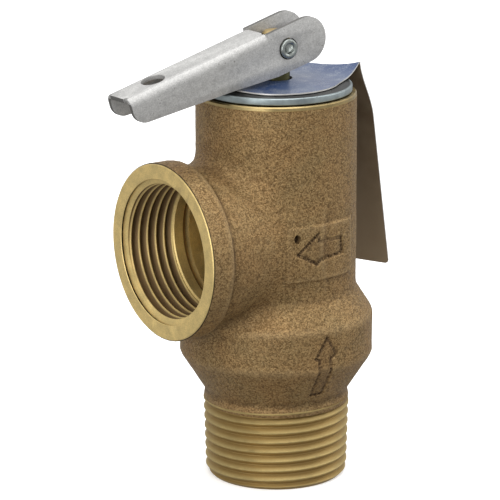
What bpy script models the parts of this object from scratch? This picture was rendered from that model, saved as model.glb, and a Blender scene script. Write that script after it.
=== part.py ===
"""Pressure relief valve: bronze body with a 3/4 inch male inlet and a 3/4 inch female side outlet.

The frame: +Z runs up the valve's axis, and the origin is on that axis at the inlet's end face.
The outlet faces -X, the lever lies in the XZ plane with its tip towards -X, and its pin runs along Y.
All lengths in this file are in millimetres; make_object() turns each finished mesh into metres.
"""
import math

import bmesh
import bpy
from mathutils import Matrix, Vector

MM = 0.001                      # metres in a millimetre
GAP = 0.3                       # room left between pieces that fit together
BODY_SIDES, BORE_SIDES, PIECE_SIDES = 52, 40, 32     # facets round a turned surface

# Pipe thread, 3/4-14 taper
PITCH = 25.4 / 14
TAPER = 1 / 32                  # change of radius per length
THREAD_DEPTH = 1.3
INLET_CREST_R = 12.93           # crest radius at the inlet's end
INLET_TURNS = 7
INLET_FIRST_CREST = 1.98
OUTLET_CREST_R = 12.15
OUTLET_TURNS = 6

# Valve body, turned about Z
INLET_BORE_R = 9.2
COLLAR_R = 13.3                 # cast shoulder above the male thread
COLLAR_Z = (14.1, 15.5)
WAIST_R, WAIST_Z = 13.0, 16.1
BULGE_R = 17.72
BULGE_Z = (23.54, 30.82)
BARREL_R, BARREL_Z = 14.6, 35.9
BODY_TOP = 71.85
SEAT_POCKET_R, SEAT_POCKET_Z = 10.3, 18.2
FLOOR_Z = 24.0                  # floor of the discharge chamber
FLOOR_R = 14.4
CHAMBER_R = 12.2
SHELF_R = 11.4                  # shelf that carries the guide ring
SHELF_Z = (57.4, 59.0)
SPRING_BORE_R = 12.6
CLIP_GROOVE_R = 13.2
CLIP_GROOVE_Z = (62.6, 64.0)

# Outlet, turned about X
OUTLET_Z = 45.5
OUTLET_FACE = -25.15
HUB_R = 16.1
HUB_BACK = -20.4
NECK_R, NECK_X = 14.8, -17.0    # straight as far as here, then narrowing
NECK_END_R, NECK_END_X = 14.0, -4.0
OUTLET_SINK_R = 13.3            # countersink at the face
OUTLET_BORE_R = 11.6

# Raised pad with the flow arrow, on the -Y side
PAD_R = 15.1
PAD_AZIMUTH = (-118.5, -60.5)   # degrees
PAD_Z = (39.8, 50.0)
ARROW_DEPTH = 0.35
PAD_ARROW_TIP = (-5.3, 45.1)                  # x, z
PAD_ARROW = (4.2, 2.7, 1.5, 9.9)              # head's length and half-width, shaft's half-width, length
CONE_ARROW_TIP = (-1.3, 29.7)
CONE_ARROW = (3.9, 2.15, 1.1, 11.2)
CONE_ARROW_Z = (18.0, 30.0)                   # where its floor starts and ends

# Pieces in the flow
SEAT_LIP_Z = 27.0
SEAT_R = (7.4, 10.0)
DISC_R, DISC_Z = 8.7, (27.3, 29.7)
CUP_R = (8.2, 9.4)
CUP_FLOOR_Z = (30.0, 33.0)
CUP_TOP = 62.8
WASHER_R, WASHER_THICKNESS = 5.2, 1.0
SCREW_R = 1.5
SCREW_HOLE_R = 1.8
SCREW_TOP = 32.6
SCREW_HEAD_R, SCREW_HEAD = 3.0, 1.9
SCREW_SOCKET_R, SCREW_SOCKET_DEPTH = 1.45, 1.2

# Stem, spring and spring chamber
STEM_R = 2.5
STEM_Z = (33.6, 82.90)
STEM_NUT_Z = (33.6, 35.4)
NUT_R, NUT_FLAT = 4.6, 3.7
SPRING_SEAT_HUB = (2.8, 5.9)    # hub of the lower spring seat, over the stem's nut
SPRING_SEAT_SHEET = 0.7
WIRE_R = 0.8
COIL_R = 7.0
COIL_Z = (35.25, 64.5)
END_COILS = 1.0
ACTIVE_COILS = 6.0
END_PITCH = 1.8
UPPER_SEAT_R, UPPER_SEAT_PLATE = 10.5, 1.6
BOSS_R, BOSS_DROP = 5.4, 0.6    # boss under the upper spring seat, and how far it enters the coil
ADJUSTER_Z = (67.6, 70.6)
ADJUSTER_HOLE_R = 8.0
WRENCH_SLOT_WIDTH, WRENCH_SLOT_DEPTH = 2.4, 1.3
GUIDE_Z = (59.3, 62.3)
GUIDE_GROOVE_R, GUIDE_GROOVE_Z = 11.05, (60.1, 61.6)
O_RING_R, O_RING_SECTION = 10.28, 0.55
CLIP_WIDTH, CLIP_ARC = 2.0, (15, 345)

# Cap
CAP_R = 13.8
CAP_Z = (72.05, 73.25)
CAP_SPIGOT_Z = 70.9
BUSH_HOLE_R = 4.2
BUSH_FLANGE_R, BUSH_FLANGE = 5.0, 0.7

# Lever, in its own frame: u towards the tip, v up, both from the pin
PIN_Z = 80.15
LEVER_TILT = 15.4               # degrees, tip down
LEVER_HALF_WIDTH = 3.8
SHEET = 0.8
BEND_R = 1.7                    # outside of the sheet's bends
HEEL_U, HEEL_R = -4.3, 4.2
WEB_U = 3.7                     # where the web starts
TIP_U = 34.2
WEB_REACH = 0.35                # how far the web stands out past its side walls
TIP_R = 2.8                     # rounded lower corner at the tip
SIDE_POINTS = ((3.5, -4.1), (14.0, -2.79))     # lower edge between heel and tip
TIP_BOTTOM_V = -1.1
WEB_HOLE_U, WEB_HOLE_R = 26.6, 2.2
PIN_HEAD_R, PIN_SHANK_R, PIN_END = 1.8, 1.45, 4.3
PIN_CLEARANCE = 0.2             # round the heads, in the cheeks
PIN_SOCKET_R, PIN_SOCKET_DEPTH = 1.05, 0.9

# Tag, in its own frame: d outwards from the stem, w across
TAG_AZIMUTH = 21.0              # degrees from +X towards +Y
TAG_SHEET = 0.25
TAG_Z = 73.4                    # underside of its flat part
TAG_HOLE_R = 2.95
TAG_DOME, TAG_DOME_R = 0.7, 9.0  # it is pushed up round the stem
TAG_DISC_R, TAG_END_R = 11.4, 10.6
TAG_RUN_ANGLE, TAG_RUN_REACH = 72.7, (3.9, 2.3)   # where its round end leaves for the strip, and how
TAG_HALF_WIDTH = 9.0
TAG_RISE_D = 5.0                # where the plate starts to curl up
TAG_RIDGE_D = 14.15
TAG_RISE_POWER = 3.4
TAG_FOLD_Z = 74.12              # top of the fold at its far edge
TAG_CURL, TAG_CURL_POWER = 1.5, 4.0           # how much higher the fold's near edge is
TAG_BOTTOM_Z = 35.1
TAG_LEAN = 0.2                  # how far the hanging part stands out, per drop
TAG_BELLY, TAG_BELLY_DROP = 2.75, 11.0        # its step outwards just below the fold
TAG_LENGTH = TAG_RIDGE_D + TAG_FOLD_Z - TAG_BOTTOM_Z
TAG_CORNER = 0.8


# ---------------------------------------------------------------- helpers

def clear_scene():
    for item in list(bpy.data.objects):
        bpy.data.objects.remove(item, do_unlink=True)


def material(name, color, metallic, roughness):
    mat = bpy.data.materials.new(name)
    mat.use_nodes = True
    shader = mat.node_tree.nodes["Principled BSDF"]
    shader.inputs["Base Color"].default_value = (*color, 1.0)
    shader.inputs["Metallic"].default_value = metallic
    shader.inputs["Roughness"].default_value = roughness
    return mat


def make_object(name, bm, mat=None, location=(0, 0, 0), rotation=(0, 0, 0), parent=None):
    """Scale a mesh made in millimetres to metres and put it in the scene as a named object."""
    bmesh.ops.recalc_face_normals(bm, faces=bm.faces)
    bmesh.ops.scale(bm, vec=(MM, MM, MM), verts=bm.verts)
    mesh = bpy.data.meshes.new(name)
    bm.to_mesh(mesh)
    bm.free()
    mesh.shade_smooth()
    mesh.set_sharp_from_angle(angle=math.radians(35))
    item = bpy.data.objects.new(name, mesh)
    bpy.context.collection.objects.link(item)
    item.location = Vector(location) * MM
    item.rotation_euler = rotation
    if mat:
        mesh.materials.append(mat)
    if parent:
        item.parent = parent
    return item


def make_cutter(name, bm, parent=None, **place):
    """An object that only shapes others."""
    item = make_object(name, bm, parent=parent, **place)
    item.hide_render = True
    item.display_type = "WIRE"
    return item


def boolean(item, operation, other):
    step = item.modifiers.new(other.name, "BOOLEAN")
    step.operation = operation
    step.solver = "EXACT"
    step.object = other


def empty(name, location, parent=None):
    item = bpy.data.objects.new(name, None)
    bpy.context.collection.objects.link(item)
    item.location = Vector(location) * MM
    item.parent = parent
    return item


def turned(profile, segments=PIECE_SIDES, loop=False, axis="Z", arc=None):
    """Turn (radius, height) points about an axis.

    A loop is a closed outline that stays off the axis, such as a ring's section. Otherwise the
    outline ends in flat faces at its first and last points. arc = (from, to) in degrees turns a
    closed outline only part of the way and closes both ends.
    """
    bm = bmesh.new()
    first, last = (math.radians(a) for a in arc) if arc else (0.0, math.tau)
    steps = segments + 1 if arc else segments
    rings = []
    for i in range(steps):
        angle = first + (last - first) * i / segments
        c, s = math.cos(angle), math.sin(angle)
        rings.append([bm.verts.new((r * c, r * s, h)) for r, h in profile])
    count = len(profile)
    spans = count if loop or arc else count - 1
    for i in range(segments):
        here, there = rings[i], rings[(i + 1) % steps]
        for k in range(spans):
            j = (k + 1) % count
            bm.faces.new((here[k], there[k], there[j], here[j]))
    if arc:
        bm.faces.new(rings[0])
        bm.faces.new(rings[-1][::-1])
    elif not loop:
        bm.faces.new([ring[0] for ring in rings][::-1])
        bm.faces.new([ring[-1] for ring in rings])
    if axis == "X":
        bmesh.ops.transform(bm, matrix=Matrix.Rotation(math.pi / 2, 4, "Y"), verts=bm.verts)
    if axis == "Y":
        bmesh.ops.transform(bm, matrix=Matrix.Rotation(-math.pi / 2, 4, "X"), verts=bm.verts)
    return bm


def band(r_in, r_out, low, high, segments=PIECE_SIDES, bevel=0.2):
    """A plain ring with bevelled outer edges."""
    profile = [(r_in, low), (r_out - bevel, low), (r_out, low + bevel),
               (r_out, high - bevel), (r_out - bevel, high), (r_in, high)]
    return turned(profile, segments, loop=True)


def prism(outline, low, high, plane="XY"):
    """Extrude an outline: XY goes up Z, XZ goes along Y, YZ goes along X."""
    place = {"XY": lambda a, b, c: (a, b, c),
             "XZ": lambda a, b, c: (a, c, b),
             "YZ": lambda a, b, c: (c, a, b)}[plane]
    bm = bmesh.new()
    lower = [bm.verts.new(place(a, b, low)) for a, b in outline]
    upper = [bm.verts.new(place(a, b, high)) for a, b in outline]
    bm.faces.new(lower[::-1])
    bm.faces.new(upper)
    for i in range(len(outline)):
        j = (i + 1) % len(outline)
        bm.faces.new((lower[i], lower[j], upper[j], upper[i]))
    return bm


def box(low, high):
    (x0, y0, z0), (x1, y1, z1) = low, high
    return prism([(x0, y0), (x1, y0), (x1, y1), (x0, y1)], z0, z1)


def arc_points(centre, radius, start, end, steps):
    """Points on an arc, angles in degrees, both ends included."""
    angles = [math.radians(start + (end - start) * i / steps) for i in range(steps + 1)]
    return [(centre[0] + radius * math.cos(a), centre[1] + radius * math.sin(a)) for a in angles]


def polygon(radius, sides, turn=0.0):
    return arc_points((0, 0), radius, turn, turn + 360 * (sides - 1) / sides, sides - 1)


def thread_profile(crest_r, first_crest, turns, depth, taper=0.0):
    """Zigzag of (radius, height) points up a thread; a negative depth cuts outwards."""
    points = []
    for i in range(turns):
        crest = first_crest + i * PITCH
        points.append((crest_r + taper * crest, crest))
        if i < turns - 1:
            root = crest + PITCH / 2
            points.append((crest_r + taper * root - depth, root))
    return points


# ---------------------------------------------------------------- valve body

def arrow_outline(head, barb, shaft, length):
    """Arrow with its tip at the origin, as (back from the tip, to the side)."""
    return [(0, 0), (head, -barb), (head, -shaft), (length, -shaft),
            (length, shaft), (head, shaft), (head, barb)]


def body_outside():
    """Solid outline of the casting, with the male thread as turned ridges."""
    start_root = INLET_FIRST_CREST - PITCH / 2
    thread = thread_profile(INLET_CREST_R, INLET_FIRST_CREST, INLET_TURNS, THREAD_DEPTH, TAPER)
    neck_r = thread[-1][0] - THREAD_DEPTH
    profile = [(INLET_CREST_R - 0.6, 0.0), (INLET_CREST_R - 0.15, 0.45),
               (INLET_CREST_R - THREAD_DEPTH, start_root)] + thread
    profile += [(neck_r, COLLAR_Z[0] - 0.25), (COLLAR_R - 0.5, COLLAR_Z[0]),
                (COLLAR_R, COLLAR_Z[0] + 0.4), (COLLAR_R, COLLAR_Z[1]), (WAIST_R, WAIST_Z),
                (BULGE_R - 0.6, BULGE_Z[0] - 0.9), (BULGE_R, BULGE_Z[0] + 0.4),
                (BULGE_R, BULGE_Z[1] - 0.4), (BULGE_R - 0.5, BULGE_Z[1] + 0.6),
                (BARREL_R + 0.6, BARREL_Z - 1.1), (BARREL_R, BARREL_Z + 0.6),
                (BARREL_R, BODY_TOP - 0.15), (BARREL_R - 0.15, BODY_TOP)]
    return turned(profile, BODY_SIDES)


def outlet_hub():
    """Hub and neck of the outlet, from its face to just short of the valve's axis."""
    profile = [(HUB_R - 0.3, OUTLET_FACE), (HUB_R, OUTLET_FACE + 0.3), (HUB_R, HUB_BACK - 0.5),
               (HUB_R - 0.5, HUB_BACK), (NECK_R, HUB_BACK + 0.5), (NECK_R, NECK_X),
               (NECK_END_R, NECK_END_X)]
    return turned(profile, BODY_SIDES, axis="X")


def body_bore():
    """Everything that is bored from the top: seat pocket, chamber, shelf and spring chamber."""
    profile = [(INLET_BORE_R, -1.0), (INLET_BORE_R, SEAT_POCKET_Z), (SEAT_POCKET_R, SEAT_POCKET_Z),
               (SEAT_POCKET_R, FLOOR_Z), (FLOOR_R, FLOOR_Z), (FLOOR_R, BULGE_Z[1]),
               (CHAMBER_R, BARREL_Z + 0.6), (CHAMBER_R, SHELF_Z[0]), (SHELF_R, SHELF_Z[0]),
               (SHELF_R, SHELF_Z[1]), (SPRING_BORE_R, SHELF_Z[1]),
               (SPRING_BORE_R, CLIP_GROOVE_Z[0]), (CLIP_GROOVE_R, CLIP_GROOVE_Z[0]),
               (CLIP_GROOVE_R, CLIP_GROOVE_Z[1]), (SPRING_BORE_R, CLIP_GROOVE_Z[1]),
               (SPRING_BORE_R, BODY_TOP + 1.0)]
    return turned(profile, BORE_SIDES)


def outlet_bore():
    """Countersink, female thread and smooth bore, from past the face to the chamber."""
    first_crest = OUTLET_FACE + 1.5
    profile = [(OUTLET_SINK_R, OUTLET_FACE - 1.0), (OUTLET_SINK_R, OUTLET_FACE)]
    profile += thread_profile(OUTLET_CREST_R, first_crest, OUTLET_TURNS, 1 - THREAD_DEPTH * 1.6)
    profile += [(OUTLET_BORE_R, first_crest + OUTLET_TURNS * PITCH), (OUTLET_BORE_R, -1.0)]
    return turned(profile, BORE_SIDES, axis="X")


def body_pad():
    section = [(BARREL_R - 0.6, PAD_Z[0]), (BARREL_R, PAD_Z[0]), (PAD_R, PAD_Z[0] + 0.4),
               (PAD_R, PAD_Z[1] - 0.4), (BARREL_R, PAD_Z[1]), (BARREL_R - 0.6, PAD_Z[1])]
    return turned(section, 10, arc=PAD_AZIMUTH)


def arrow_cutter(name, outline, shell):
    """An arrow cut to an even depth: its prism along Y, kept only inside a turned shell."""
    item = make_cutter(name, prism(outline, -20.0, -10.0, plane="XZ"))
    boolean(item, "INTERSECT", shell)
    return item


def make_body(mat):
    body = make_object("valve_body", body_outside(), mat)
    at_outlet = {"location": (0, 0, OUTLET_Z)}
    boolean(body, "UNION", make_cutter("join_hub", outlet_hub(), **at_outlet))
    boolean(body, "UNION", make_cutter("join_pad", body_pad()))
    boolean(body, "DIFFERENCE", make_cutter("cut_bore", body_bore()))
    boolean(body, "DIFFERENCE", make_cutter("cut_outlet", outlet_bore(), **at_outlet))

    upper_floor = PAD_R - ARROW_DEPTH
    upper_shell = make_cutter("shape_pad_arrow", turned(
        [(upper_floor, PAD_Z[0]), (PAD_R + 2, PAD_Z[0]), (PAD_R + 2, PAD_Z[1]),
         (upper_floor, PAD_Z[1])], 20, arc=(-130, -50)))
    x, z = PAD_ARROW_TIP
    across = [(x + back, z + side) for back, side in arrow_outline(*PAD_ARROW)]
    boolean(body, "DIFFERENCE", arrow_cutter("cut_pad_arrow", across, upper_shell))

    slope = (BULGE_R - WAIST_R) / (BULGE_Z[0] - WAIST_Z)
    foot_z, head_z = CONE_ARROW_Z
    foot_r = WAIST_R + slope * (foot_z - WAIST_Z) - ARROW_DEPTH * math.hypot(1, slope)
    lower_shell = make_cutter("shape_cone_arrow", turned(
        [(foot_r, foot_z), (BULGE_R + 2, foot_z), (BULGE_R + 2, head_z),
         (BULGE_R - ARROW_DEPTH, head_z), (BULGE_R - ARROW_DEPTH, BULGE_Z[0])], 16, arc=(-120, -60)))
    x, z = CONE_ARROW_TIP
    upwards = [(x + side, z - back) for back, side in arrow_outline(*CONE_ARROW)]
    boolean(body, "DIFFERENCE", arrow_cutter("cut_cone_arrow", upwards, lower_shell))
    return body


# ---------------------------------------------------------------- pieces in the flow

def make_seat_ring(mat):
    inner, outer = SEAT_R
    low = SEAT_POCKET_Z + GAP
    profile = [(inner, low), (outer, low), (outer, FLOOR_Z - 0.2), (outer - 0.9, FLOOR_Z + 0.5),
               (inner + 1.3, SEAT_LIP_Z), (inner + 0.5, SEAT_LIP_Z), (inner, SEAT_LIP_Z - 0.6)]
    return make_object("seat_ring", turned(profile, loop=True), mat)


def make_seat_disc(mat, parent):
    return make_object("seat_disc", band(SCREW_HOLE_R, DISC_R, *DISC_Z), mat, parent=parent)


def make_disc_washer(mat, parent):
    high = DISC_Z[0] - GAP
    washer = band(SCREW_HOLE_R, WASHER_R, high - WASHER_THICKNESS, high, 24)
    return make_object("disc_washer", washer, mat, parent=parent)


def make_disc_screw(mat, parent):
    seat = DISC_Z[0] - 2 * GAP - WASHER_THICKNESS
    low = seat - SCREW_HEAD
    profile = [(SCREW_HEAD_R - 0.3, low), (SCREW_HEAD_R, low + 0.3), (SCREW_HEAD_R, seat),
               (SCREW_R, seat), (SCREW_R, SCREW_TOP)]
    screw = make_object("disc_screw", turned(profile, 24), mat, parent=parent)
    socket = prism(polygon(SCREW_SOCKET_R, 6), low - 1.0, low + SCREW_SOCKET_DEPTH)
    boolean(screw, "DIFFERENCE", make_cutter("cut_screw_socket", socket, parent=parent))
    return screw


def make_disc_holder(mat, parent):
    """Cup round the spring, with a rim under its floor that holds the rubber disc."""
    inner, outer = CUP_R
    low, high = CUP_FLOOR_Z
    rim_r = DISC_R + GAP
    profile = [(SCREW_HOLE_R, low), (rim_r, low), (rim_r, DISC_Z[0] + 0.9),
               (outer - 0.1, DISC_Z[0] + 0.9), (outer, DISC_Z[0] + 1.1), (outer, CUP_TOP - 0.3),
               (outer - 0.3, CUP_TOP), (inner, CUP_TOP), (inner, high), (SCREW_HOLE_R, high)]
    return make_object("disc_holder", turned(profile, loop=True), mat, parent=parent)


def make_lower_spring_seat(mat, parent):
    """Stepped washer: the spring stands on its rim, and its hub catches the stem's nut."""
    low = CUP_FLOOR_Z[1] + GAP
    hole, hub = SPRING_SEAT_HUB
    rim, wall, roof = CUP_R[0] - GAP, SPRING_SEAT_SHEET, STEM_NUT_Z[1] + GAP
    profile = [(hub - wall, low), (rim, low), (rim, low + wall), (hub, low + wall),
               (hub, roof + wall), (hole, roof + wall), (hole, roof), (hub - wall, roof)]
    return make_object("lower_spring_seat", turned(profile, loop=True), mat, parent=parent)


def make_stem_nut(mat, parent):
    """Nut on the stem's foot, with flats for a wrench."""
    low, high = STEM_NUT_Z
    thread_r = STEM_R + 0.15
    profile = [(thread_r, low), (NUT_R, low), (NUT_R, high), (thread_r, high)]
    nut = make_object("stem_nut", turned(profile, 24, loop=True), mat, parent=parent)
    for side in (-1, 1):
        flat = box((-8, NUT_FLAT, low - 1), (8, 8, high + 1))
        bmesh.ops.scale(flat, vec=(side, side, 1), verts=flat.verts)
        boolean(nut, "DIFFERENCE", make_cutter("cut_nut_flat", flat, parent=parent))
    return nut


# ---------------------------------------------------------------- spring chamber

def make_guide_ring(mat):
    low, high = GUIDE_Z
    inner, outer = CUP_R[1] + 0.25, SPRING_BORE_R - GAP
    groove_low, groove_high = GUIDE_GROOVE_Z
    profile = [(inner, low), (outer - 0.2, low), (outer, low + 0.2), (outer, high - 0.2),
               (outer - 0.2, high), (inner, high), (inner, groove_high),
               (GUIDE_GROOVE_R, groove_high), (GUIDE_GROOVE_R, groove_low), (inner, groove_low)]
    return make_object("guide_ring", turned(profile, loop=True), mat)


def make_guide_o_ring(mat):
    middle = (GUIDE_GROOVE_Z[0] + GUIDE_GROOVE_Z[1]) / 2
    section = arc_points((O_RING_R, middle), O_RING_SECTION, 0, 300, 5)
    return make_object("guide_o_ring", turned(section, loop=True), mat)


def make_guide_clip(mat):
    """Retaining ring, open at one side."""
    low, high = CLIP_GROOVE_Z[0] + GAP, CLIP_GROOVE_Z[1] - GAP
    outer = CLIP_GROOVE_R - GAP
    inner = outer - CLIP_WIDTH
    section = [(inner, low), (outer, low), (outer, high), (inner, high)]
    return make_object("guide_clip", turned(section, 32, arc=CLIP_ARC), mat)


def coil_height(turn):
    """Height of the wire's centre: a close coil at each end and open coils between."""
    low, high = COIL_Z
    total = 2 * END_COILS + ACTIVE_COILS
    pitch = (high - low - 2 * END_COILS * END_PITCH) / ACTIVE_COILS
    if turn < END_COILS:
        return low + turn * END_PITCH
    if turn > total - END_COILS:
        return high - (total - turn) * END_PITCH
    return low + END_COILS * END_PITCH + (turn - END_COILS) * pitch


def make_spring(mat):
    sides, steps_per_turn = 6, 13
    steps = int((2 * END_COILS + ACTIVE_COILS) * steps_per_turn)
    bm = bmesh.new()
    rings = []
    for i in range(steps + 1):
        turn = i / steps_per_turn
        angle = math.tau * turn
        height = coil_height(turn)
        ring = []
        for k in range(sides):
            a = math.tau * k / sides
            r = COIL_R + WIRE_R * math.cos(a)
            ring.append(bm.verts.new((r * math.cos(angle), r * math.sin(angle),
                                      height + WIRE_R * math.sin(a))))
        rings.append(ring)
    for here, there in zip(rings, rings[1:]):
        for k in range(sides):
            j = (k + 1) % sides
            bm.faces.new((here[k], there[k], there[j], here[j]))
    bm.faces.new(rings[0])
    bm.faces.new(rings[-1][::-1])
    return make_object("spring", bm, mat)


def make_upper_spring_seat(mat):
    """Plate over the spring with a boss that centres the coil."""
    high = ADJUSTER_Z[0] - GAP
    plate, boss = high - UPPER_SEAT_PLATE, COIL_Z[1] - BOSS_DROP
    inner, outer = STEM_R + GAP, UPPER_SEAT_R
    profile = [(inner, boss), (BOSS_R - 0.3, boss), (BOSS_R, boss + 0.4), (BOSS_R, plate),
               (outer - 0.2, plate), (outer, plate + 0.2), (outer, high - 0.2),
               (outer - 0.2, high), (inner, high)]
    return make_object("upper_spring_seat", turned(profile, loop=True), mat)


def make_adjusting_ring(mat):
    """Threaded ring with two slots for a pin wrench."""
    low, high = ADJUSTER_Z
    outer = SPRING_BORE_R - GAP
    ring = make_object("adjusting_ring", band(ADJUSTER_HOLE_R, outer, low, high), mat)
    half = WRENCH_SLOT_WIDTH / 2
    slot = box((-outer - 1, -half, high - WRENCH_SLOT_DEPTH), (outer + 1, half, high + 1))
    boolean(ring, "DIFFERENCE", make_cutter("cut_wrench_slot", slot))
    return ring


def make_cap(mat):
    low, high = CAP_Z
    spigot_r = SPRING_BORE_R - GAP
    profile = [(BUSH_HOLE_R, CAP_SPIGOT_Z), (spigot_r, CAP_SPIGOT_Z), (spigot_r, low),
               (CAP_R, low), (CAP_R, high - 0.15), (CAP_R - 0.15, high), (BUSH_HOLE_R, high)]
    return make_object("cap", turned(profile, BODY_SIDES, loop=True), mat)


def make_stem_bush(mat):
    low = CAP_SPIGOT_Z - GAP - BUSH_FLANGE
    inner, outer = STEM_R + GAP, BUSH_HOLE_R - GAP
    profile = [(inner, low), (BUSH_FLANGE_R, low), (BUSH_FLANGE_R, low + BUSH_FLANGE),
               (outer, low + BUSH_FLANGE),
               (outer, CAP_Z[1] - 0.05), (inner, CAP_Z[1] - 0.05)]
    return make_object("stem_bush", turned(profile, loop=True), mat)


# ---------------------------------------------------------------- stem and lever

def make_stem(mat, parent):
    """Rod with a cross hole for the lever's pin."""
    low, high = STEM_Z
    profile = [(STEM_R - 0.4, low), (STEM_R, low + 0.4), (STEM_R, high - 0.4), (STEM_R - 0.4, high)]
    stem = make_object("stem", turned(profile, 28), mat, parent=parent)
    hole_r = PIN_SHANK_R + GAP
    hole = turned([(hole_r, -4.0), (hole_r, 4.0)], 24, axis="Y")
    cutter = make_cutter("cut_pin_hole", hole, location=(0, 0, PIN_Z), parent=parent)
    boolean(stem, "DIFFERENCE", cutter)
    return stem


def lever_side():
    """Side view of the lever as (x, z) in its own frame, where x = -u."""
    tip_corner = (TIP_U - TIP_R, TIP_BOTTOM_V + TIP_R)
    outline = [(WEB_U, HEEL_R)]
    outline += arc_points((HEEL_U, 0), HEEL_R, 90, 270, 14)
    outline += SIDE_POINTS
    outline += arc_points(tip_corner, TIP_R, -83, 0, 6)
    outline += [(TIP_U, HEEL_R - SHEET - 0.2), (TIP_U + WEB_REACH, HEEL_R - SHEET)]
    outline += [(TIP_U + WEB_REACH, HEEL_R)]
    return [(-u, v) for u, v in outline]


def make_lever(mat, pivot):
    tilt = {"rotation": (0, -math.radians(LEVER_TILT), 0), "parent": pivot}
    half, inner = LEVER_HALF_WIDTH, LEVER_HALF_WIDTH - SHEET
    top, under = HEEL_R, HEEL_R - SHEET
    far, back = TIP_U + 3, HEEL_U - HEEL_R - 2
    lever = make_object("lever", prism(lever_side(), -half, half, plane="XZ"), mat, **tilt)

    bend_in = BEND_R - SHEET
    channel = [(-inner, -8.0), (inner, -8.0)]
    channel += arc_points((inner - bend_in, under - bend_in), bend_in, 0, 90, 3)
    channel += arc_points((bend_in - inner, under - bend_in), bend_in, 90, 180, 3)
    cuts = [("cut_channel", prism(channel, -far, -WEB_U + 1.0, plane="YZ")),
            ("cut_slot", box((-WEB_U, -inner, -8.0), (-back, inner, 8.0)))]
    for side, name in ((1, "cut_bend_left"), (-1, "cut_bend_right")):
        corner = arc_points((half - BEND_R, top - BEND_R), BEND_R, 0, 90, 6)
        corner = [(half + 1, top - BEND_R)] + corner + [(half - BEND_R, top + 1), (half + 1, top + 1)]
        corner = [(side * y, z) for y, z in corner]
        cuts.append((name, prism(corner, -far, -WEB_U, plane="YZ")))
    for low_y, high_y, name in ((half - BEND_R, half + 1, "cut_tip_left"),
                                (-half - 1, BEND_R - half, "cut_tip_right")):
        cuts.append((name, box((-far, low_y, 0.0), (-TIP_U, high_y, 8.0))))
    hole_r = PIN_HEAD_R + PIN_CLEARANCE
    cuts.append(("cut_lever_pin", turned([(hole_r, -8), (hole_r, 8)], 28, axis="Y")))
    cuts.append(("cut_web_hole", turned([(WEB_HOLE_R, 0), (WEB_HOLE_R, 8)], 28)))
    for name, bm in cuts:
        place = dict(tilt)
        if name == "cut_web_hole":
            bmesh.ops.translate(bm, vec=(-WEB_HOLE_U, 0, 0), verts=bm.verts)
        boolean(lever, "DIFFERENCE", make_cutter(name, bm, **place))
    return lever


def make_lever_pin(mat, pivot):
    shoulder = LEVER_HALF_WIDTH - SHEET + 0.1
    profile = [(PIN_HEAD_R - 0.35, -PIN_END), (PIN_HEAD_R, -PIN_END + 0.35),
               (PIN_HEAD_R, -shoulder), (PIN_SHANK_R, -shoulder), (PIN_SHANK_R, shoulder),
               (PIN_HEAD_R, shoulder), (PIN_HEAD_R, PIN_END - 0.35), (PIN_HEAD_R - 0.35, PIN_END)]
    pin = make_object("lever_pin", turned(profile, 28, axis="Y"), mat, parent=pivot)
    socket = prism(polygon(PIN_SOCKET_R, 6, 30), -PIN_END - 1, -PIN_END + PIN_SOCKET_DEPTH,
                   plane="XZ")
    boolean(pin, "DIFFERENCE", make_cutter("cut_pin_socket", socket, parent=pivot))
    return pin


# ---------------------------------------------------------------- tag

def smooth(x):
    x = min(max(x, 0.0), 1.0)
    return x * x * (3 - 2 * x)


def tag_disc_radius(azimuth):
    """Plan radius of the tag's round end, in degrees of world azimuth; flatter under the lever."""
    away = abs(azimuth % 360 - 180)
    return TAG_END_R + (TAG_DISC_R - TAG_END_R) * smooth((away - 16) / 34)


def tag_run():
    """Side of the tag from its round end to the fold, as a cubic curve in (d, w)."""
    turn = math.radians(TAG_RUN_ANGLE)
    across, along = math.sin(turn), math.cos(turn)
    leave, arrive = TAG_RUN_REACH
    start = Vector((TAG_DISC_R * along, TAG_DISC_R * across))
    bends = (start, start + leave * Vector((across, -along)),
             Vector((TAG_RIDGE_D - arrive, TAG_HALF_WIDTH)), Vector((TAG_RIDGE_D, TAG_HALF_WIDTH)))
    points = []
    for i in range(1, 9):
        t = i / 8
        shares = ((1 - t) ** 3, 3 * t * (1 - t) ** 2, 3 * t * t * (1 - t), t ** 3)
        points.append(tuple(sum((b * share for b, share in zip(bends, shares)), Vector((0, 0)))))
    return points


def tag_outline():
    """Flat outline in (d, w): round end about the stem, running out into a straight strip."""
    points = []
    for i in range(31):
        angle = TAG_RUN_ANGLE + (360 - 2 * TAG_RUN_ANGLE) * i / 30
        r = tag_disc_radius(angle + TAG_AZIMUTH)
        points.append((r * math.cos(math.radians(angle)), r * math.sin(math.radians(angle))))
    points += [(d, -w) for d, w in tag_run()]
    end, side = TAG_LENGTH - TAG_CORNER, TAG_HALF_WIDTH - TAG_CORNER
    points += arc_points((end, -side), TAG_CORNER, -90, 0, 3)
    points += arc_points((end, side), TAG_CORNER, 0, 90, 3)
    points += tag_run()[::-1]
    return points


def ridge_height(w):
    """The fold sits higher at its near edge, where the plate is curled up."""
    near = (TAG_HALF_WIDTH - w) / (2 * TAG_HALF_WIDTH)
    return TAG_FOLD_Z + TAG_CURL * max(near, 0.0) ** TAG_CURL_POWER


def hanging_d(drop):
    """Distance out from the stem's axis after a given drop below the fold."""
    return TAG_RIDGE_D + TAG_LEAN * drop + TAG_BELLY * smooth(drop / TAG_BELLY_DROP)


def dome_height(s, w):
    return TAG_DOME * max(0.0, 1 - (s * s + w * w) / TAG_DOME_R ** 2) ** 2


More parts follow.
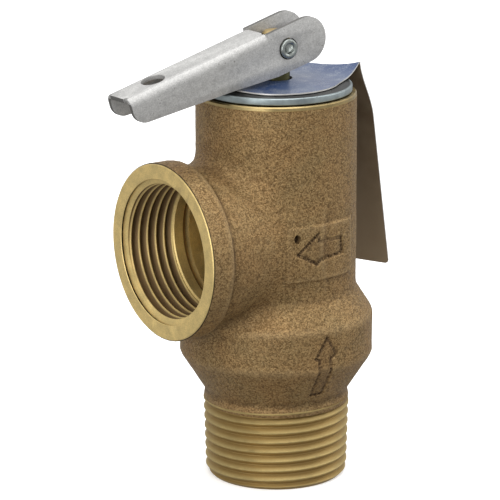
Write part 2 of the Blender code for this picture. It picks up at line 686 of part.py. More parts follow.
def bend_point(s, w, h):
    """Carry a point of the flat tag onto its bent shape; s runs along it and h is its thickness."""
    ridge = ridge_height(w)
    if s <= TAG_RIDGE_D:
        t = max(0.0, (s - TAG_RISE_D) / (TAG_RIDGE_D - TAG_RISE_D))
        rise = (ridge - TAG_Z) * t ** TAG_RISE_POWER + dome_height(s, w)
        return s, TAG_Z + rise + h
    share = (s - TAG_RIDGE_D) / (TAG_LENGTH - TAG_RIDGE_D)
    drop = share * (ridge - TAG_BOTTOM_Z)
    step = 0.01
    slope = (hanging_d(drop + step) - hanging_d(drop)) / step
    norm = math.hypot(1.0, slope)
    return hanging_d(drop) + h / norm, ridge - drop + h * slope / norm


def make_tag(mat, parent):
    """A flat plate with a hole, sliced along its bends, then bent."""
    flat = make_cutter("tag_blank", prism(tag_outline(), 0, TAG_SHEET))
    hole = turned([(TAG_HOLE_R, -1), (TAG_HOLE_R, 1)], 28)
    boolean(flat, "DIFFERENCE", make_cutter("cut_tag_hole", hole))
    bpy.context.view_layer.update()
    blank = flat.evaluated_get(bpy.context.evaluated_depsgraph_get())
    bm = bmesh.new()
    bm.from_mesh(blank.to_mesh())
    blank.to_mesh_clear()
    bpy.data.objects.remove(flat, do_unlink=True)
    bmesh.ops.scale(bm, vec=(1 / MM, 1 / MM, 1 / MM), verts=bm.verts)

    bends = [TAG_RISE_D + (TAG_RIDGE_D - TAG_RISE_D) * i / 6 for i in range(7)]
    bends += [TAG_RIDGE_D + drop for drop in (0.6, 1.5, 3.0, 5.0, 7.5, 11.0, 16.0, 24.0)]
    bends += [-7.5, -5.0, -2.5, 0.0, 2.5]
    cuts = [((s, 0, 0), (1, 0, 0)) for s in bends]
    cuts += [((0, w, 0), (0, 1, 0)) for w in (-7.5, -5.0, -2.5, 2.5, 5.0, 7.5)]
    for point, normal in cuts:
        everything = bm.verts[:] + bm.edges[:] + bm.faces[:]
        bmesh.ops.bisect_plane(bm, geom=everything, plane_co=point, plane_no=normal, dist=1e-4)
    bmesh.ops.triangulate(bm, faces=bm.faces)
    turn = Matrix.Rotation(math.radians(TAG_AZIMUTH), 4, "Z")
    for vert in bm.verts:
        s, w, h = vert.co
        d, z = bend_point(s, w, h)
        vert.co = turn @ Vector((d, w, z))
    return make_object("tag", bm, mat, parent=parent)


# ---------------------------------------------------------------- assembly

def main():
    clear_scene()
    bronze = material("cast_bronze", (0.26, 0.17, 0.09), 0.85, 0.55)
    brass = material("machined_brass", (0.62, 0.48, 0.22), 1.0, 0.3)
    zinc = material("zinc_steel", (0.42, 0.42, 0.41), 0.9, 0.45)
    zinc_cap = material("bright_zinc", (0.45, 0.52, 0.56), 1.0, 0.3)
    steel = material("spring_steel", (0.35, 0.35, 0.34), 1.0, 0.35)
    rubber = material("rubber", (0.02, 0.02, 0.02), 0.0, 0.7)
    printed = material("printed_aluminium", (0.12, 0.2, 0.42), 0.6, 0.35)

    lift = empty("lift_axis", (0, 0, 0))
    swivel = empty("lever_swivel_axis", (0, 0, 0), parent=lift)
    pivot = empty("lever_pivot", (0, 0, PIN_Z), parent=swivel)
    tag_axis = empty("tag_axis", (0, 0, 0))

    make_body(bronze)
    make_seat_ring(brass)
    make_guide_ring(brass)
    make_guide_o_ring(rubber)
    make_guide_clip(steel)
    make_spring(steel)
    make_upper_spring_seat(zinc)
    make_adjusting_ring(brass)
    make_cap(zinc_cap)
    make_stem_bush(brass)

    make_seat_disc(rubber, lift)
    make_disc_washer(steel, lift)
    make_disc_screw(steel, lift)
    make_disc_holder(brass, lift)
    make_lower_spring_seat(zinc, lift)
    make_stem_nut(brass, swivel)
    make_stem(brass, swivel)
    make_lever(zinc, pivot)
    make_lever_pin(steel, pivot)
    make_tag(printed, tag_axis)


main()
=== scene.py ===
"""Visual model of a bronze pressure relief valve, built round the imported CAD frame.

Shapes are worked out in millimetres about the valve's axis (+Z up, the outlet towards -X, the
lever's tip towards -X, its pin along Y), and new_object() turns them into metres.
"""
from math import cos, hypot, pi, radians, sin, tan, tau

import bmesh
import bpy
import numpy as np
from mathutils import Matrix, Vector, noise


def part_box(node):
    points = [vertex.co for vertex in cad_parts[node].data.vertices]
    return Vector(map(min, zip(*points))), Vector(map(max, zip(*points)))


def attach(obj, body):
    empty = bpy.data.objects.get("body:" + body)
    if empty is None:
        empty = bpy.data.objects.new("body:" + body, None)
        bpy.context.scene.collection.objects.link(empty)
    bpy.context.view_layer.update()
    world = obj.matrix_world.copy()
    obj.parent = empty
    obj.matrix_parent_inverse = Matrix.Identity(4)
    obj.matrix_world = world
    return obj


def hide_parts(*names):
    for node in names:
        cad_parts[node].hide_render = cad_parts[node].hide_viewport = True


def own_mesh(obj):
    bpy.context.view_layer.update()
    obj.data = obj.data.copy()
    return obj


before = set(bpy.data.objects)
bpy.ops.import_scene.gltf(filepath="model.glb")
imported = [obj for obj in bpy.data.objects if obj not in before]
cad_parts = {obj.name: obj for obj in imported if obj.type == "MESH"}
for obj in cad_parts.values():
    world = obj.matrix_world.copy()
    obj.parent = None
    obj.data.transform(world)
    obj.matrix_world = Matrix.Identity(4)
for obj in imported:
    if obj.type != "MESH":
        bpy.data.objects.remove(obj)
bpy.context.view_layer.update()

MM = 0.001


def box_mm(node):
    low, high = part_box(node)
    return low / MM, high / MM


BODY_LOW, BODY_HIGH = box_mm("valve_body")
STEM_LOW, STEM_HIGH = box_mm("stem")
PIN_LOW, PIN_HIGH = box_mm("lever_pin")

SIDES = 144  # facets round a turned surface
WELD = 0.001  # points closer than this are one
EASED = 0.12  # usual rounding of an edge
SMOOTH_ANGLE = 38  # degrees; sharper edges than this stay sharp

# Casting
GRID = 0.42  # spacing of the field that the casting is meshed from
BULGE_R = BODY_HIGH.x - 0.08  # its grains stay inside the CAD's radius
BARREL_R, BODY_TOP = 14.6, BODY_HIGH.z
OUTLET_FACE, OUTLET_Z = BODY_LOW.x, 45.5
HUB_R, HUB_BACK = 16.1, -20.4
FILLET = 3.2  # where the outlet's neck runs into the barrel
COLLAR_R, COLLAR_LOW = 13.3, 14.0
PAD_RISE, PAD_EDGE = 0.3, 0.5
PAD_AZIMUTH, PAD_HALF_WIDTH = -89.5, 7.6  # degrees, and length round the barrel
PAD_Z = (39.8, 50.0)
GROOVE_DEPTH, GROOVE_WIDTH = 0.5, 0.25
ARROW_FLOOR = 0.12  # how far the arrows' insides are sunk
HOLE_DEPTH = 1.2
NEAR_SIDE = -8.0  # marks are only on the casting's side before this Y
BAND_LOW = 71.15  # foot of the turned band under the cap

# Bores
INLET_BORE_R, CHAMBER_R, SPRING_BORE_R = 9.2, 12.2, 12.6
SEAT_POCKET, FLOOR = (10.3, 18.2), (14.4, 24.0)
SHELF_R, SHELF_Z = 11.4, (57.4, 59.0)
CLIP_GROOVE_R, CLIP_GROOVE_Z = 13.2, (62.6, 64.0)
OUTLET_SINK_R, OUTLET_SINK = 13.2, 1.1  # radius and depth of the countersink
OUTLET_BORE_R = 11.6
OUTLET_THREAD_END = -12.5  # where the undercut starts

# Pipe threads, 3/4-14 taper
PITCH, TAPER = 25.4 / 14, 1 / 32
INLET_DEPTH, OUTLET_DEPTH = 0.8, 1.1  # worn crests, filled roots
THREAD_SHIFT = 0.77  # where the male thread's turns lie
OUTLET_THREAD = 8.7  # length of the outlet's full thread
INLET_CREST_R, OUTLET_CREST_R = 12.93, 12.15

# Lever, in its own frame: u towards the tip, v up, both from the pin
PIN_Z = (PIN_LOW.z + PIN_HIGH.z) / 2
PIN_SHANK_R = 1.45
PIN_LIP = 0.42  # rounding of its heads
PIN_RECESS_R, PIN_RECESS = 1.05, 0.9
LEVER_TILT, LEVER_HALF_WIDTH = 15.4, 3.8
SHEET, BEND_R = 0.8, 1.7
HEEL_U, HEEL_R = -4.3, 4.197
WEB_U = 3.7
TIP_U, TIP_R = 34.2, 2.8
WEB_REACH = 0.34  # how far the web stands out past its side walls
TIP_BOTTOM_V = -1.1
LOWER_EDGE = ((3.5, -4.1), (14.0, -2.79))
WEB_HOLE_U, WEB_HOLE_R = 26.6, 2.2
NOTCH_R, NOTCH_SHIFT = 0.33, 0.25  # small reliefs at the ends of the bends

# Stem, screw, rings and spring
STEM_EDGE = 0.4
SCREW_HEAD, SCREW_SHANK_R = 1.9, 1.5
SCREW_RECESS_R, SCREW_RECESS = 1.45, 1.2
LOAD_RING_R, LOAD_RING_TURNS, LOAD_RING_DEPTH = 8.0, 3, 0.3
WRENCH_HALF_WIDTH, WRENCH_DEPTH = 1.2, 1.3
CLIP_R, CLIP_GAP = 10.9, 30.0  # inner radius, and its gap in degrees
COIL_R, WIRE_R = 7.0, 0.8
END_TURNS, ACTIVE_TURNS, END_PITCH = 1.0, 6.0, 1.8

# Tag, in its own frame: d outwards from the stem, w across
TAG_AZIMUTH, TAG_SHEET = 21.0, 0.25
TAG_Z = 73.4  # underside of its flat part
TAG_BOTTOM_Z = 35.1
TAG_HOLE_R = 2.95
TAG_DOME, TAG_DOME_R = 0.7, 9.0  # it is pushed up round the stem
TAG_DISC_R, TAG_END_R = 11.4, 10.6
TAG_RUN_ANGLE, TAG_RUN_REACH = 72.7, (3.9, 2.3)  # where its round end leaves for the strip, and how
TAG_HALF_WIDTH = 9.0
TAG_RISE_D, TAG_RISE_POWER = 5.0, 3.4  # where the plate starts to curl up, and how
TAG_RIDGE_D = 14.15
TAG_FOLD_Z = 74.12  # top of the fold at its far edge
TAG_CURL, TAG_CURL_POWER = 1.5, 4.0  # how much higher the fold's near edge is
TAG_LEAN = 0.2  # how far the hanging part stands out, per drop
TAG_BELLY, TAG_BELLY_DROP = 2.74, 11.0  # its step outwards just below the fold
TAG_LENGTH = TAG_RIDGE_D + TAG_FOLD_Z - TAG_BOTTOM_Z
TAG_CORNER = 0.8


def smooth_step(x):
    x = np.clip(x, 0, 1)
    return x * x * (3 - 2 * x)


# ---- mesh helpers

def smoothed(mesh, angle=SMOOTH_ANGLE):
    mesh.shade_smooth()
    mesh.set_sharp_from_angle(angle=radians(angle))


def linked(name, data):
    item = bpy.data.objects.new(name, data)
    bpy.context.scene.collection.objects.link(item)
    return item


def new_object(name, bm, materials=(), angle=SMOOTH_ANGLE):
    """An object from a mesh in millimetres, smooth but for edges sharper than the angle."""
    bmesh.ops.recalc_face_normals(bm, faces=bm.faces)
    bmesh.ops.scale(bm, vec=(MM, MM, MM), verts=bm.verts)
    mesh = bpy.data.meshes.new(name)
    bm.to_mesh(mesh)
    bm.free()
    for mat in materials:
        mesh.materials.append(mat)
    smoothed(mesh, angle)
    return linked(name, mesh)


def baked(item):
    """Apply the object's modifiers."""
    graph = bpy.context.evaluated_depsgraph_get()
    mesh = bpy.data.meshes.new_from_object(item.evaluated_get(graph))
    item.modifiers.clear()
    item.data = mesh
    smoothed(mesh)
    return item


def combine(item, operation, cutters, solver="EXACT"):
    """Booleans with each cutter in turn; the cutters are used up."""
    for cutter in cutters:
        step = item.modifiers.new(cutter.name, "BOOLEAN")
        step.operation = operation
        step.solver = solver
        step.object = cutter
    baked(item)
    for cutter in cutters:
        bpy.data.objects.remove(cutter, do_unlink=True)
    return item


def cut_from(item, meshes):
    return combine(item, "DIFFERENCE", [new_object("cutter", bm) for bm in meshes])


def soften(item, width, angle=40):
    """Round the object's edges."""
    step = item.modifiers.new("edges", "BEVEL")
    step.width = width * MM
    step.segments = 2
    step.limit_method = "ANGLE"
    step.angle_limit = radians(angle)
    step.use_clamp_overlap = True
    return baked(item)


def finished(item, body, slot, *nodes):
    """The object is done: it loses its empty faces, rides on a body and stands for these CAD nodes."""
    bm = bmesh.new()
    bm.from_mesh(item.data)
    bmesh.ops.remove_doubles(bm, verts=bm.verts, dist=WELD * MM)
    bmesh.ops.dissolve_degenerate(bm, dist=WELD * MM, edges=bm.edges)
    bm.to_mesh(item.data)
    bm.free()
    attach(item, body)
    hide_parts(*nodes)
    return item


def join_rings(bm, rings, loop):
    """Quads from each row of points to the next; a loop also joins each row's ends."""
    count = len(rings[0])
    for here, there in zip(rings, rings[1:]):
        for k in range(count if loop else count - 1):
            j = (k + 1) % count
            bm.faces.new((here[k], there[k], there[j], here[j]))


def turned(profile, sides=SIDES, loop=False, axis="Z", material=0):
    """Turn (radius, height) points about an axis; a loop is a closed outline off the axis."""
    bm = bmesh.new()
    rings = []
    for i in range(sides):
        a = tau * i / sides
        rings.append([bm.verts.new((r * cos(a), r * sin(a), h)) for r, h in profile])
    join_rings(bm, rings + rings[:1], loop)
    if not loop:
        bm.faces.new([ring[0] for ring in rings][::-1])
        bm.faces.new([ring[-1] for ring in rings])
    for face in bm.faces:
        face.material_index = material
    turns = {"X": Matrix.Rotation(pi / 2, 4, "Y"), "Y": Matrix.Rotation(-pi / 2, 4, "X")}
    if axis in turns:
        bmesh.ops.transform(bm, matrix=turns[axis], verts=bm.verts)
    return bm


def moved(bm, x=0.0, y=0.0, z=0.0):
    bmesh.ops.translate(bm, vec=(x, y, z), verts=bm.verts)
    return bm


def prism(outline, low, high, plane="XY"):
    """Extrude an outline: XY goes up Z, XZ goes along Y, YZ goes along X."""
    place = {"XY": lambda a, b, c: (a, b, c),
             "XZ": lambda a, b, c: (a, c, b),
             "YZ": lambda a, b, c: (c, a, b)}[plane]
    bm = bmesh.new()
    lower = [bm.verts.new(place(a, b, low)) for a, b in outline]
    upper = [bm.verts.new(place(a, b, high)) for a, b in outline]
    bm.faces.new(lower[::-1])
    bm.faces.new(upper)
    for i in range(len(outline)):
        j = (i + 1) % len(outline)
        bm.faces.new((lower[i], lower[j], upper[j], upper[i]))
    return bm


def block(low, high):
    (x0, y0, z0), (x1, y1, z1) = low, high
    return prism([(x0, y0), (x1, y0), (x1, y1), (x0, y1)], z0, z1)


def arc_points(centre, radius, start, end, steps):
    angles = [radians(start + (end - start) * i / steps) for i in range(steps + 1)]
    return [(centre[0] + radius * cos(a), centre[1] + radius * sin(a)) for a in angles]


def polygon(radius, sides, turn=0.0):
    return arc_points((0, 0), radius, turn, turn + 360 * (sides - 1) / sides, sides - 1)


def rounded(outline, radius):
    """A closed (r, z) outline with its corners rounded, as far as its sides allow."""
    steps = 3
    points = [Vector(p) for p in outline]
    made = []
    for i, here in enumerate(points):
        before, after = points[i - 1] - here, points[(i + 1) % len(points)] - here
        reach = min(radius, before.length * 0.4, after.length * 0.4)
        start, end = here + before.normalized() * reach, here + after.normalized() * reach
        for k in range(steps + 1):
            t = k / steps
            made.append(tuple(start * (1 - t) ** 2 + here * 2 * t * (1 - t) + end * t * t))
    return made


def helix_solid(crest_r, low, turns, depth, taper=0.0, material=0):
    """A closed solid with a right-hand V thread up Z; a negative depth points outwards."""
    form = ((0.0, 0.0), (0.07, 0.0), (0.48, depth), (0.59, depth))
    rows = len(form)
    bm = bmesh.new()
    grid = []
    for k in range(turns * rows + 1):
        share, drop = form[k % rows]
        row = []
        for i in range(SIDES):
            a = tau * i / SIDES
            z = low + (k // rows + share + i / SIDES) * PITCH
            r = crest_r + taper * z - drop
            row.append(bm.verts.new((r * cos(a), r * sin(a), z)))
        grid.append(row)
    last = len(grid) - 1
    for k in range(last):
        for i in range(SIDES - 1):
            bm.faces.new((grid[k][i], grid[k][i + 1], grid[k + 1][i + 1], grid[k + 1][i]))
        if k + rows < last:
            bm.faces.new((grid[k][-1], grid[k + rows][0], grid[k + rows + 1][0], grid[k + 1][-1]))
    for edge_loop, z in ((boundary(bm, grid[0][0]), low - PITCH),
                         (boundary(bm, grid[last][0]), low + (turns + 2) * PITCH)):
        hub = bm.verts.new((0, 0, z))
        for here, there in zip(edge_loop, edge_loop[1:] + edge_loop[:1]):
            bm.faces.new((here, there, hub))
    for face in bm.faces:
        face.material_index = material
    return bm


def boundary(bm, start):
    """The loop of open edges that a vertex is on."""
    loop, here, came = [], start, None
    while True:
        loop.append(here)
        ahead = [e for e in here.link_edges if e.is_boundary and e is not came]
        came = ahead[0]
        here = came.other_vert(here)
        if here is start:
            return loop


# ---- casting

def softened_profile(points, sigma):
    """Heights, radii and slope factors of a profile whose corners are worn round."""
    step = 0.05
    heights = np.arange(points[0][1], points[-1][1], step)
    radii = np.interp(heights, [z for _, z in points], [r for r, _ in points])
    reach = int(3 * sigma / step)
    weights = np.exp(-0.5 * (np.arange(-reach, reach + 1) * step / sigma) ** 2)
    radii = np.convolve(np.pad(radii, reach, mode="edge"), weights / weights.sum(), mode="valid")
    slope = np.gradient(radii, step)
    return heights, radii, 1 / np.sqrt(1 + slope * slope)


BARREL_PROFILE = softened_profile(
    [(COLLAR_R, COLLAR_LOW - 8), (COLLAR_R, 15.45), (12.95, 16.1), (BULGE_R + 0.12, 23.54),
     (BULGE_R + 0.02, 24.3), (BULGE_R + 0.02, 30.0), (BULGE_R + 0.1, 30.82), (BARREL_R, 35.9),
     (BARREL_R, BODY_TOP + 8)], 0.42)
NECK_PROFILE = softened_profile(
    [(HUB_R, OUTLET_FACE - 8), (HUB_R, HUB_BACK - 0.1), (14.8, HUB_BACK + 0.35),
     (14.75, -17.0), (14.0, -4.0), (14.0, 5.0)], 0.28)

PAD_ARROW = ((-5.85, 45.05), (-1.5, 48.5), (-1.3, 47.0), (4.05, 46.95), (4.36, 44.1),
             (-1.25, 43.6), (-1.7, 42.8))
CONE_ARROW = ((-1.36, 29.73), (-3.6, 25.9), (-2.95, 25.6), (-2.5, 18.2), (-0.2, 18.2),
              (-0.5, 25.7), (0.66, 26.5))
PAD_HOLE, PAD_HOLE_R, PAD_HOLE_SQUEEZE = (-5.9, 48.0), 0.72, 0.8


def outline_distance(x, z, outline):
    """Distance from an outline in the XZ plane, and whether each point is inside it."""
    nearest = np.full(x.shape, 1e9)
    inside = np.zeros(x.shape, bool)
    for (x0, z0), (x1, z1) in zip(outline, outline[1:] + outline[:1]):
        dx, dz = x1 - x0, z1 - z0
        t = np.clip(((x - x0) * dx + (z - z0) * dz) / (dx * dx + dz * dz), 0, 1)
        nearest = np.minimum(nearest, np.hypot(x - x0 - t * dx, z - z0 - t * dz))
        if z0 != z1:
            inside ^= ((z0 > z) != (z1 > z)) & (x < dx * (z - z0) / dz + x0)
    return nearest, inside


def pad_inset(x, y, z):
    """How far inside the pad's outline a point is, negative outside it."""
    across = BARREL_R * (np.arctan2(y, x) - radians(PAD_AZIMUTH))
    return np.minimum(PAD_HALF_WIDTH - np.abs(across), np.minimum(z - PAD_Z[0], PAD_Z[1] - z))


def casting_field(x, y, z):
    """Rough distance from the cast outside: barrel and bulge about Z, neck and hub about X."""
    heights, radii, lean = BARREL_PROFILE
    barrel = (np.hypot(x, y) - np.interp(z, heights, radii)) * np.interp(z, heights, lean)
    barrel = barrel - PAD_RISE * smooth_step(pad_inset(x, y, z) / PAD_EDGE + 0.5)
    places, radii, lean = NECK_PROFILE
    neck = (np.hypot(y, z - OUTLET_Z) - np.interp(x, places, radii)) * np.interp(x, places, lean)
    neck = np.maximum(neck, x + 2)
    blend = np.clip(0.5 + 0.5 * (neck - barrel) / FILLET, 0, 1)
    return neck + (barrel - neck) * blend - FILLET * blend * (1 - blend)


def marks_field(x, y, z):
    """How far the flow arrows and the small hole are sunk into the near side."""
    depth = np.zeros(x.shape)
    for outline in (PAD_ARROW, CONE_ARROW):
        away, inside = outline_distance(x, z, outline)
        depth = np.maximum(depth, GROOVE_DEPTH * np.exp(-(away / GROOVE_WIDTH) ** 2)
                           + ARROW_FLOOR * inside)
    away = np.hypot((x - PAD_HOLE[0]) / PAD_HOLE_SQUEEZE, z - PAD_HOLE[1])
    depth = np.maximum(depth, HOLE_DEPTH * smooth_step((PAD_HOLE_R + 0.12 - away) / 0.3))
    return depth * (y < NEAR_SIDE)


def surface_nets(field, origin, step):
    """Points and quads on a sampled field's zero level, one point in each cell it crosses."""
    inside = field < 0
    cells = np.array(field.shape) - 1
    quads = []
    sums = np.zeros((cells.prod(), 3))
    counts = np.zeros(cells.prod())
    for axis in range(3):
        others = [a for a in range(3) if a != axis]
        low = [slice(1, -1)] * 3
        low[axis] = slice(0, -1)
        high = list(low)
        high[axis] = slice(1, None)
        low, high = tuple(low), tuple(high)
        start = np.argwhere(inside[low] != inside[high])
        start[:, others] += 1
        end = start.copy()
        end[:, axis] += 1
        a, b = field[tuple(start.T)], field[tuple(end.T)]
        point = start.astype(float)
        point[:, axis] += a / (a - b)
        around = []
        for i, j in ((-1, -1), (0, -1), (0, 0), (-1, 0)):
            cell = start.copy()
            cell[:, others[0]] += i
            cell[:, others[1]] += j
            flat = np.ravel_multi_index(cell.T, cells)
            np.add.at(sums, flat, point)
            np.add.at(counts, flat, 1)
            around.append(flat)
        around = np.stack(around, 1)
        outward = (a < 0) ^ (axis == 1)
        around[~outward] = around[~outward][:, ::-1]
        quads.append(around)
    used = np.flatnonzero(counts)
    number = np.full(cells.prod(), -1)
    number[used] = np.arange(len(used))
    points = sums[used] / counts[used, None]
    return points * step + origin, number[np.concatenate(quads)]


def grain(points):
    """Height of the sand-cast skin: shallow waves and grains."""
    made = np.empty(len(points))
    for i, p in enumerate(points):
        at = Vector(p)
        made[i] = (0.05 * noise.noise(at * 0.16) + 0.035 * noise.noise(at * 0.9)
                   + 0.035 * noise.noise(at * 2.1))
    return made


def settle(points, field):
    """Move points onto a field's zero level."""
    small, rounds = 0.02, 3
    for _ in range(rounds):
        x, y, z = points.T
        here = field(x, y, z)
        slope = np.stack([field(x + small, y, z) - here, field(x, y + small, z) - here,
                          field(x, y, z + small) - here], 1) / small
        size = (slope * slope).sum(1)
        points = points - slope * (here / np.maximum(size, 0.25))[:, None]
    return points


def make_casting(slots):
    """The rough outside, before it is machined."""
    step = GRID * 1
    reach = 1.2
    low = np.array([OUTLET_FACE, BODY_LOW.y, COLLAR_LOW]) - reach
    high = np.array([BULGE_R, BODY_HIGH.y, BODY_TOP]) + reach
    axes = [np.arange(a, b + step, step) for a, b in zip(low, high)]
    grid = np.meshgrid(*axes, indexing="ij")
    ends = np.maximum(np.maximum(low[2] + reach - 0.1 - grid[2], grid[2] - high[2] + reach / 2),
                      low[0] + reach / 2 - grid[0])
    points, quads = surface_nets(np.maximum(casting_field(*grid), ends), low, step)

    mesh = bpy.data.meshes.new("casting")
    mesh.from_pydata(points.tolist(), [], quads.tolist())
    bm = bmesh.new()
    bm.from_mesh(mesh)
    refine_marks(bm)
    points = np.array([v.co for v in bm.verts])
    skin = ((points[:, 2] > COLLAR_LOW + 0.3) & (points[:, 2] < BODY_TOP + 0.1)
            & (points[:, 0] > OUTLET_FACE - 0.1))
    height = grain(points)
    chosen = points[skin]
    lift = height[skin]

    def skin_field(x, y, z):
        return casting_field(x, y, z) + marks_field(x, y, z) - lift

    points[skin] = settle(chosen, skin_field)
    for vert, point in zip(bm.verts, points):
        vert.co = point
    bpy.data.meshes.remove(mesh)
    return new_object("valve_casting", bm, slots)


def refine_marks(bm):
    """Finer faces round the pad's edges, the arrows and the small hole."""
    x, y, z = np.array([f.calc_center_median() for f in bm.faces]).T
    chosen = np.hypot(x - PAD_HOLE[0], z - PAD_HOLE[1]) < PAD_HOLE_R + 0.4
    for outline in (PAD_ARROW, CONE_ARROW):
        away, _ = outline_distance(x, z, outline)
        chosen |= away < 0.75
    chosen |= np.abs(pad_inset(x, y, z)) < PAD_EDGE
    chosen &= y < NEAR_SIDE
    edges = list({e for f, use in zip(bm.faces, chosen) if use for e in f.edges})
    bmesh.ops.subdivide_edges(bm, edges=edges, cuts=2, use_grid_fill=True)


def store_shade_masks(body):
    """Store where the casting is hollow, sharp or marked, for its material's painted shade and painted
    highlight.
    """
    points = np.empty(len(body.data.vertices) * 3, np.float32)
    body.data.vertices.foreach_get("co", points)
    x, y, z = points.reshape(-1, 3).T.astype(float) / MM
    reach = 0.9
    here = casting_field(x, y, z)
    around = np.zeros(len(x))
    for axis in np.eye(3) * reach:
        for side in (-1, 1):
            dx, dy, dz = axis * side
            around += casting_field(x + dx, y + dy, z + dz) / 6
    bend = (around - here) / reach
    for name, value in (("hollow", np.clip(-bend * 9, 0, 1)), ("sharp", np.clip(bend * 9, 0, 1)),
                        ("marks", np.clip(marks_field(x, y, z) / GROOVE_DEPTH, 0, 1))):
        layer = body.data.attributes.new(name, "FLOAT", "POINT")
        layer.data.foreach_set("value", value.astype(np.float32))


def main_bore():
    profile = [(INLET_BORE_R + 0.5, -1.0), (INLET_BORE_R + 0.5, 0.0), (INLET_BORE_R, 0.5),
               (INLET_BORE_R, SEAT_POCKET[1]), SEAT_POCKET, (SEAT_POCKET[0], FLOOR[1]), FLOOR,
               (FLOOR[0], 30.8), (CHAMBER_R, 36.5), (CHAMBER_R, SHELF_Z[0]),
               (SHELF_R, SHELF_Z[0]), (SHELF_R, SHELF_Z[1]), (SPRING_BORE_R, SHELF_Z[1]),
               (SPRING_BORE_R, CLIP_GROOVE_Z[0]), (CLIP_GROOVE_R, CLIP_GROOVE_Z[0]),
               (CLIP_GROOVE_R, CLIP_GROOVE_Z[1]), (SPRING_BORE_R, CLIP_GROOVE_Z[1]),
               (SPRING_BORE_R, BODY_TOP + 2)]
    return turned(profile, material=1)


def top_facing():
    """Everything above the turned top, and outside the turned band."""
    profile = [(BARREL_R - 0.25, BODY_TOP), (BARREL_R - 0.05, BODY_TOP - 0.2),
               (BARREL_R - 0.05, BAND_LOW), (BARREL_R + 1.0, BAND_LOW - 0.4),
               (BARREL_R + 3.0, BAND_LOW - 0.4), (BARREL_R + 3.0, BODY_TOP + 3),
               (2.0, BODY_TOP + 3), (2.0, BODY_TOP)]
    return turned(profile, loop=True, material=1)


def outlet_facing():
    """Everything past the outlet's face, with a light turned edge."""
    profile = [(HUB_R - 0.3, OUTLET_FACE), (HUB_R - 0.02, OUTLET_FACE + 0.28),
               (HUB_R + 3, OUTLET_FACE + 0.6), (HUB_R + 3, OUTLET_FACE - 3), (2, OUTLET_FACE - 3),
               (2, OUTLET_FACE)]
    return turned(profile, loop=True, axis="X", material=2)


def outlet_bore():
    """Groove in the countersink, undercut past the thread, and the smooth bore."""
    start, end = OUTLET_FACE + OUTLET_SINK, OUTLET_THREAD_END
    profile = [(OUTLET_SINK_R + 0.1, OUTLET_FACE - 1), (OUTLET_SINK_R + 0.1, OUTLET_FACE),
               (OUTLET_SINK_R, OUTLET_FACE + 0.1), (OUTLET_SINK_R + 0.6, OUTLET_FACE + 0.16),
               (OUTLET_SINK_R + 0.6, OUTLET_FACE + 0.5), (OUTLET_SINK_R, OUTLET_FACE + 0.56),
               (OUTLET_CREST_R, start), (OUTLET_BORE_R + 0.25, end),
               (OUTLET_BORE_R + 1.0, end + 0.25), (OUTLET_BORE_R + 1.0, end + 1.0),
               (OUTLET_BORE_R, end + 1.2), (OUTLET_BORE_R, -1.0)]
    return turned(profile, axis="X", material=2)


def thread(name, ridge, blank, material, slots):
    """The part of an endless thread that lies within a turned blank."""
    item = new_object(name, ridge, slots)
    return combine(item, "INTERSECT", [new_object("blank", turned(blank, material=material), slots)],
                   "MANIFOLD")


def outlet_thread(slots):
    """What is cut away for the female thread, with its run-out."""
    start, inner = OUTLET_FACE + OUTLET_SINK - 0.1, OUTLET_CREST_R - 2
    end = start + OUTLET_THREAD
    blank = [(inner, start), (OUTLET_SINK_R, start), (OUTLET_SINK_R, end),
             (OUTLET_CREST_R - 0.4, end + 1.2), (inner, end + 1.2)]
    ridge = helix_solid(OUTLET_CREST_R, start - 2 * PITCH, 9, -OUTLET_DEPTH, material=2)
    item = thread("outlet_thread", ridge, blank, 2, slots)
    item.data.transform(Matrix.Translation((0, 0, OUTLET_Z * MM)) @ Matrix.Rotation(pi / 2, 4, "Y"))
    return item


def inlet_thread(slots):
    """The male thread, chamfered at its end."""
    blank = [(INLET_CREST_R - 0.9, 0.0), (INLET_CREST_R + 0.1, 1.0), (INLET_CREST_R + 0.6, COLLAR_LOW + 1),
             (INLET_CREST_R - INLET_DEPTH, COLLAR_LOW + 1)]
    ridge = helix_solid(INLET_CREST_R + 0.05, THREAD_SHIFT - 3 * PITCH, 12, INLET_DEPTH, TAPER, material=3)
    return thread("inlet_thread", ridge, blank, 3, slots)


def make_body(cast, machined, outlet_brass, thread_brass):
    """The casting with its thread, bores and faces machined."""
    slots = (cast, machined, outlet_brass, thread_brass)
    body = make_casting(slots)
    combine(body, "UNION", [inlet_thread(slots)], "MANIFOLD")
    tools = [main_bore(), top_facing()] + [moved(bm, z=OUTLET_Z) for bm in (outlet_facing(), outlet_bore())]
    cutters = [new_object("cutter", bm, slots) for bm in tools] + [outlet_thread(slots)]
    combine(body, "DIFFERENCE", cutters, "MANIFOLD")
    store_shade_masks(body)
    return finished(body, "valve_body", "cast_bronze", "valve_body")


# ---- turned pieces from the frame

def section(node):
    """A turned CAD node's closed (r, z) outline in millimetres, read where it crosses +X."""
    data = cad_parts[node].data
    on_cut = {}
    for vert in data.vertices:
        x, y, z = vert.co / MM
        if x > 0 and abs(y) < 2e-3:
            on_cut[vert.index] = (round(x, 3), round(z, 3))
    links = {}
    for edge in data.edges:
        a, b = (on_cut.get(i) for i in edge.vertices)
        if a and b and a != b:
            links.setdefault(a, set()).add(b)
            links.setdefault(b, set()).add(a)
    start = min(links)
    outline, before = [start], None
    while True:
        ahead = [p for p in sorted(links[outline[-1]]) if p != before]
        before = outline[-1]
        if ahead[0] == start or len(outline) > len(links):
            return outline
        outline.append(ahead[0])


def turned_from_frame(name, node, body, slot, mat):
    """A fine copy of a turned CAD node, with eased edges."""
    bm = turned(rounded(section(node), EASED), loop=True)
    return finished(new_object(name, bm, [mat], angle=50), body, slot, node)


# ---- lever and pin

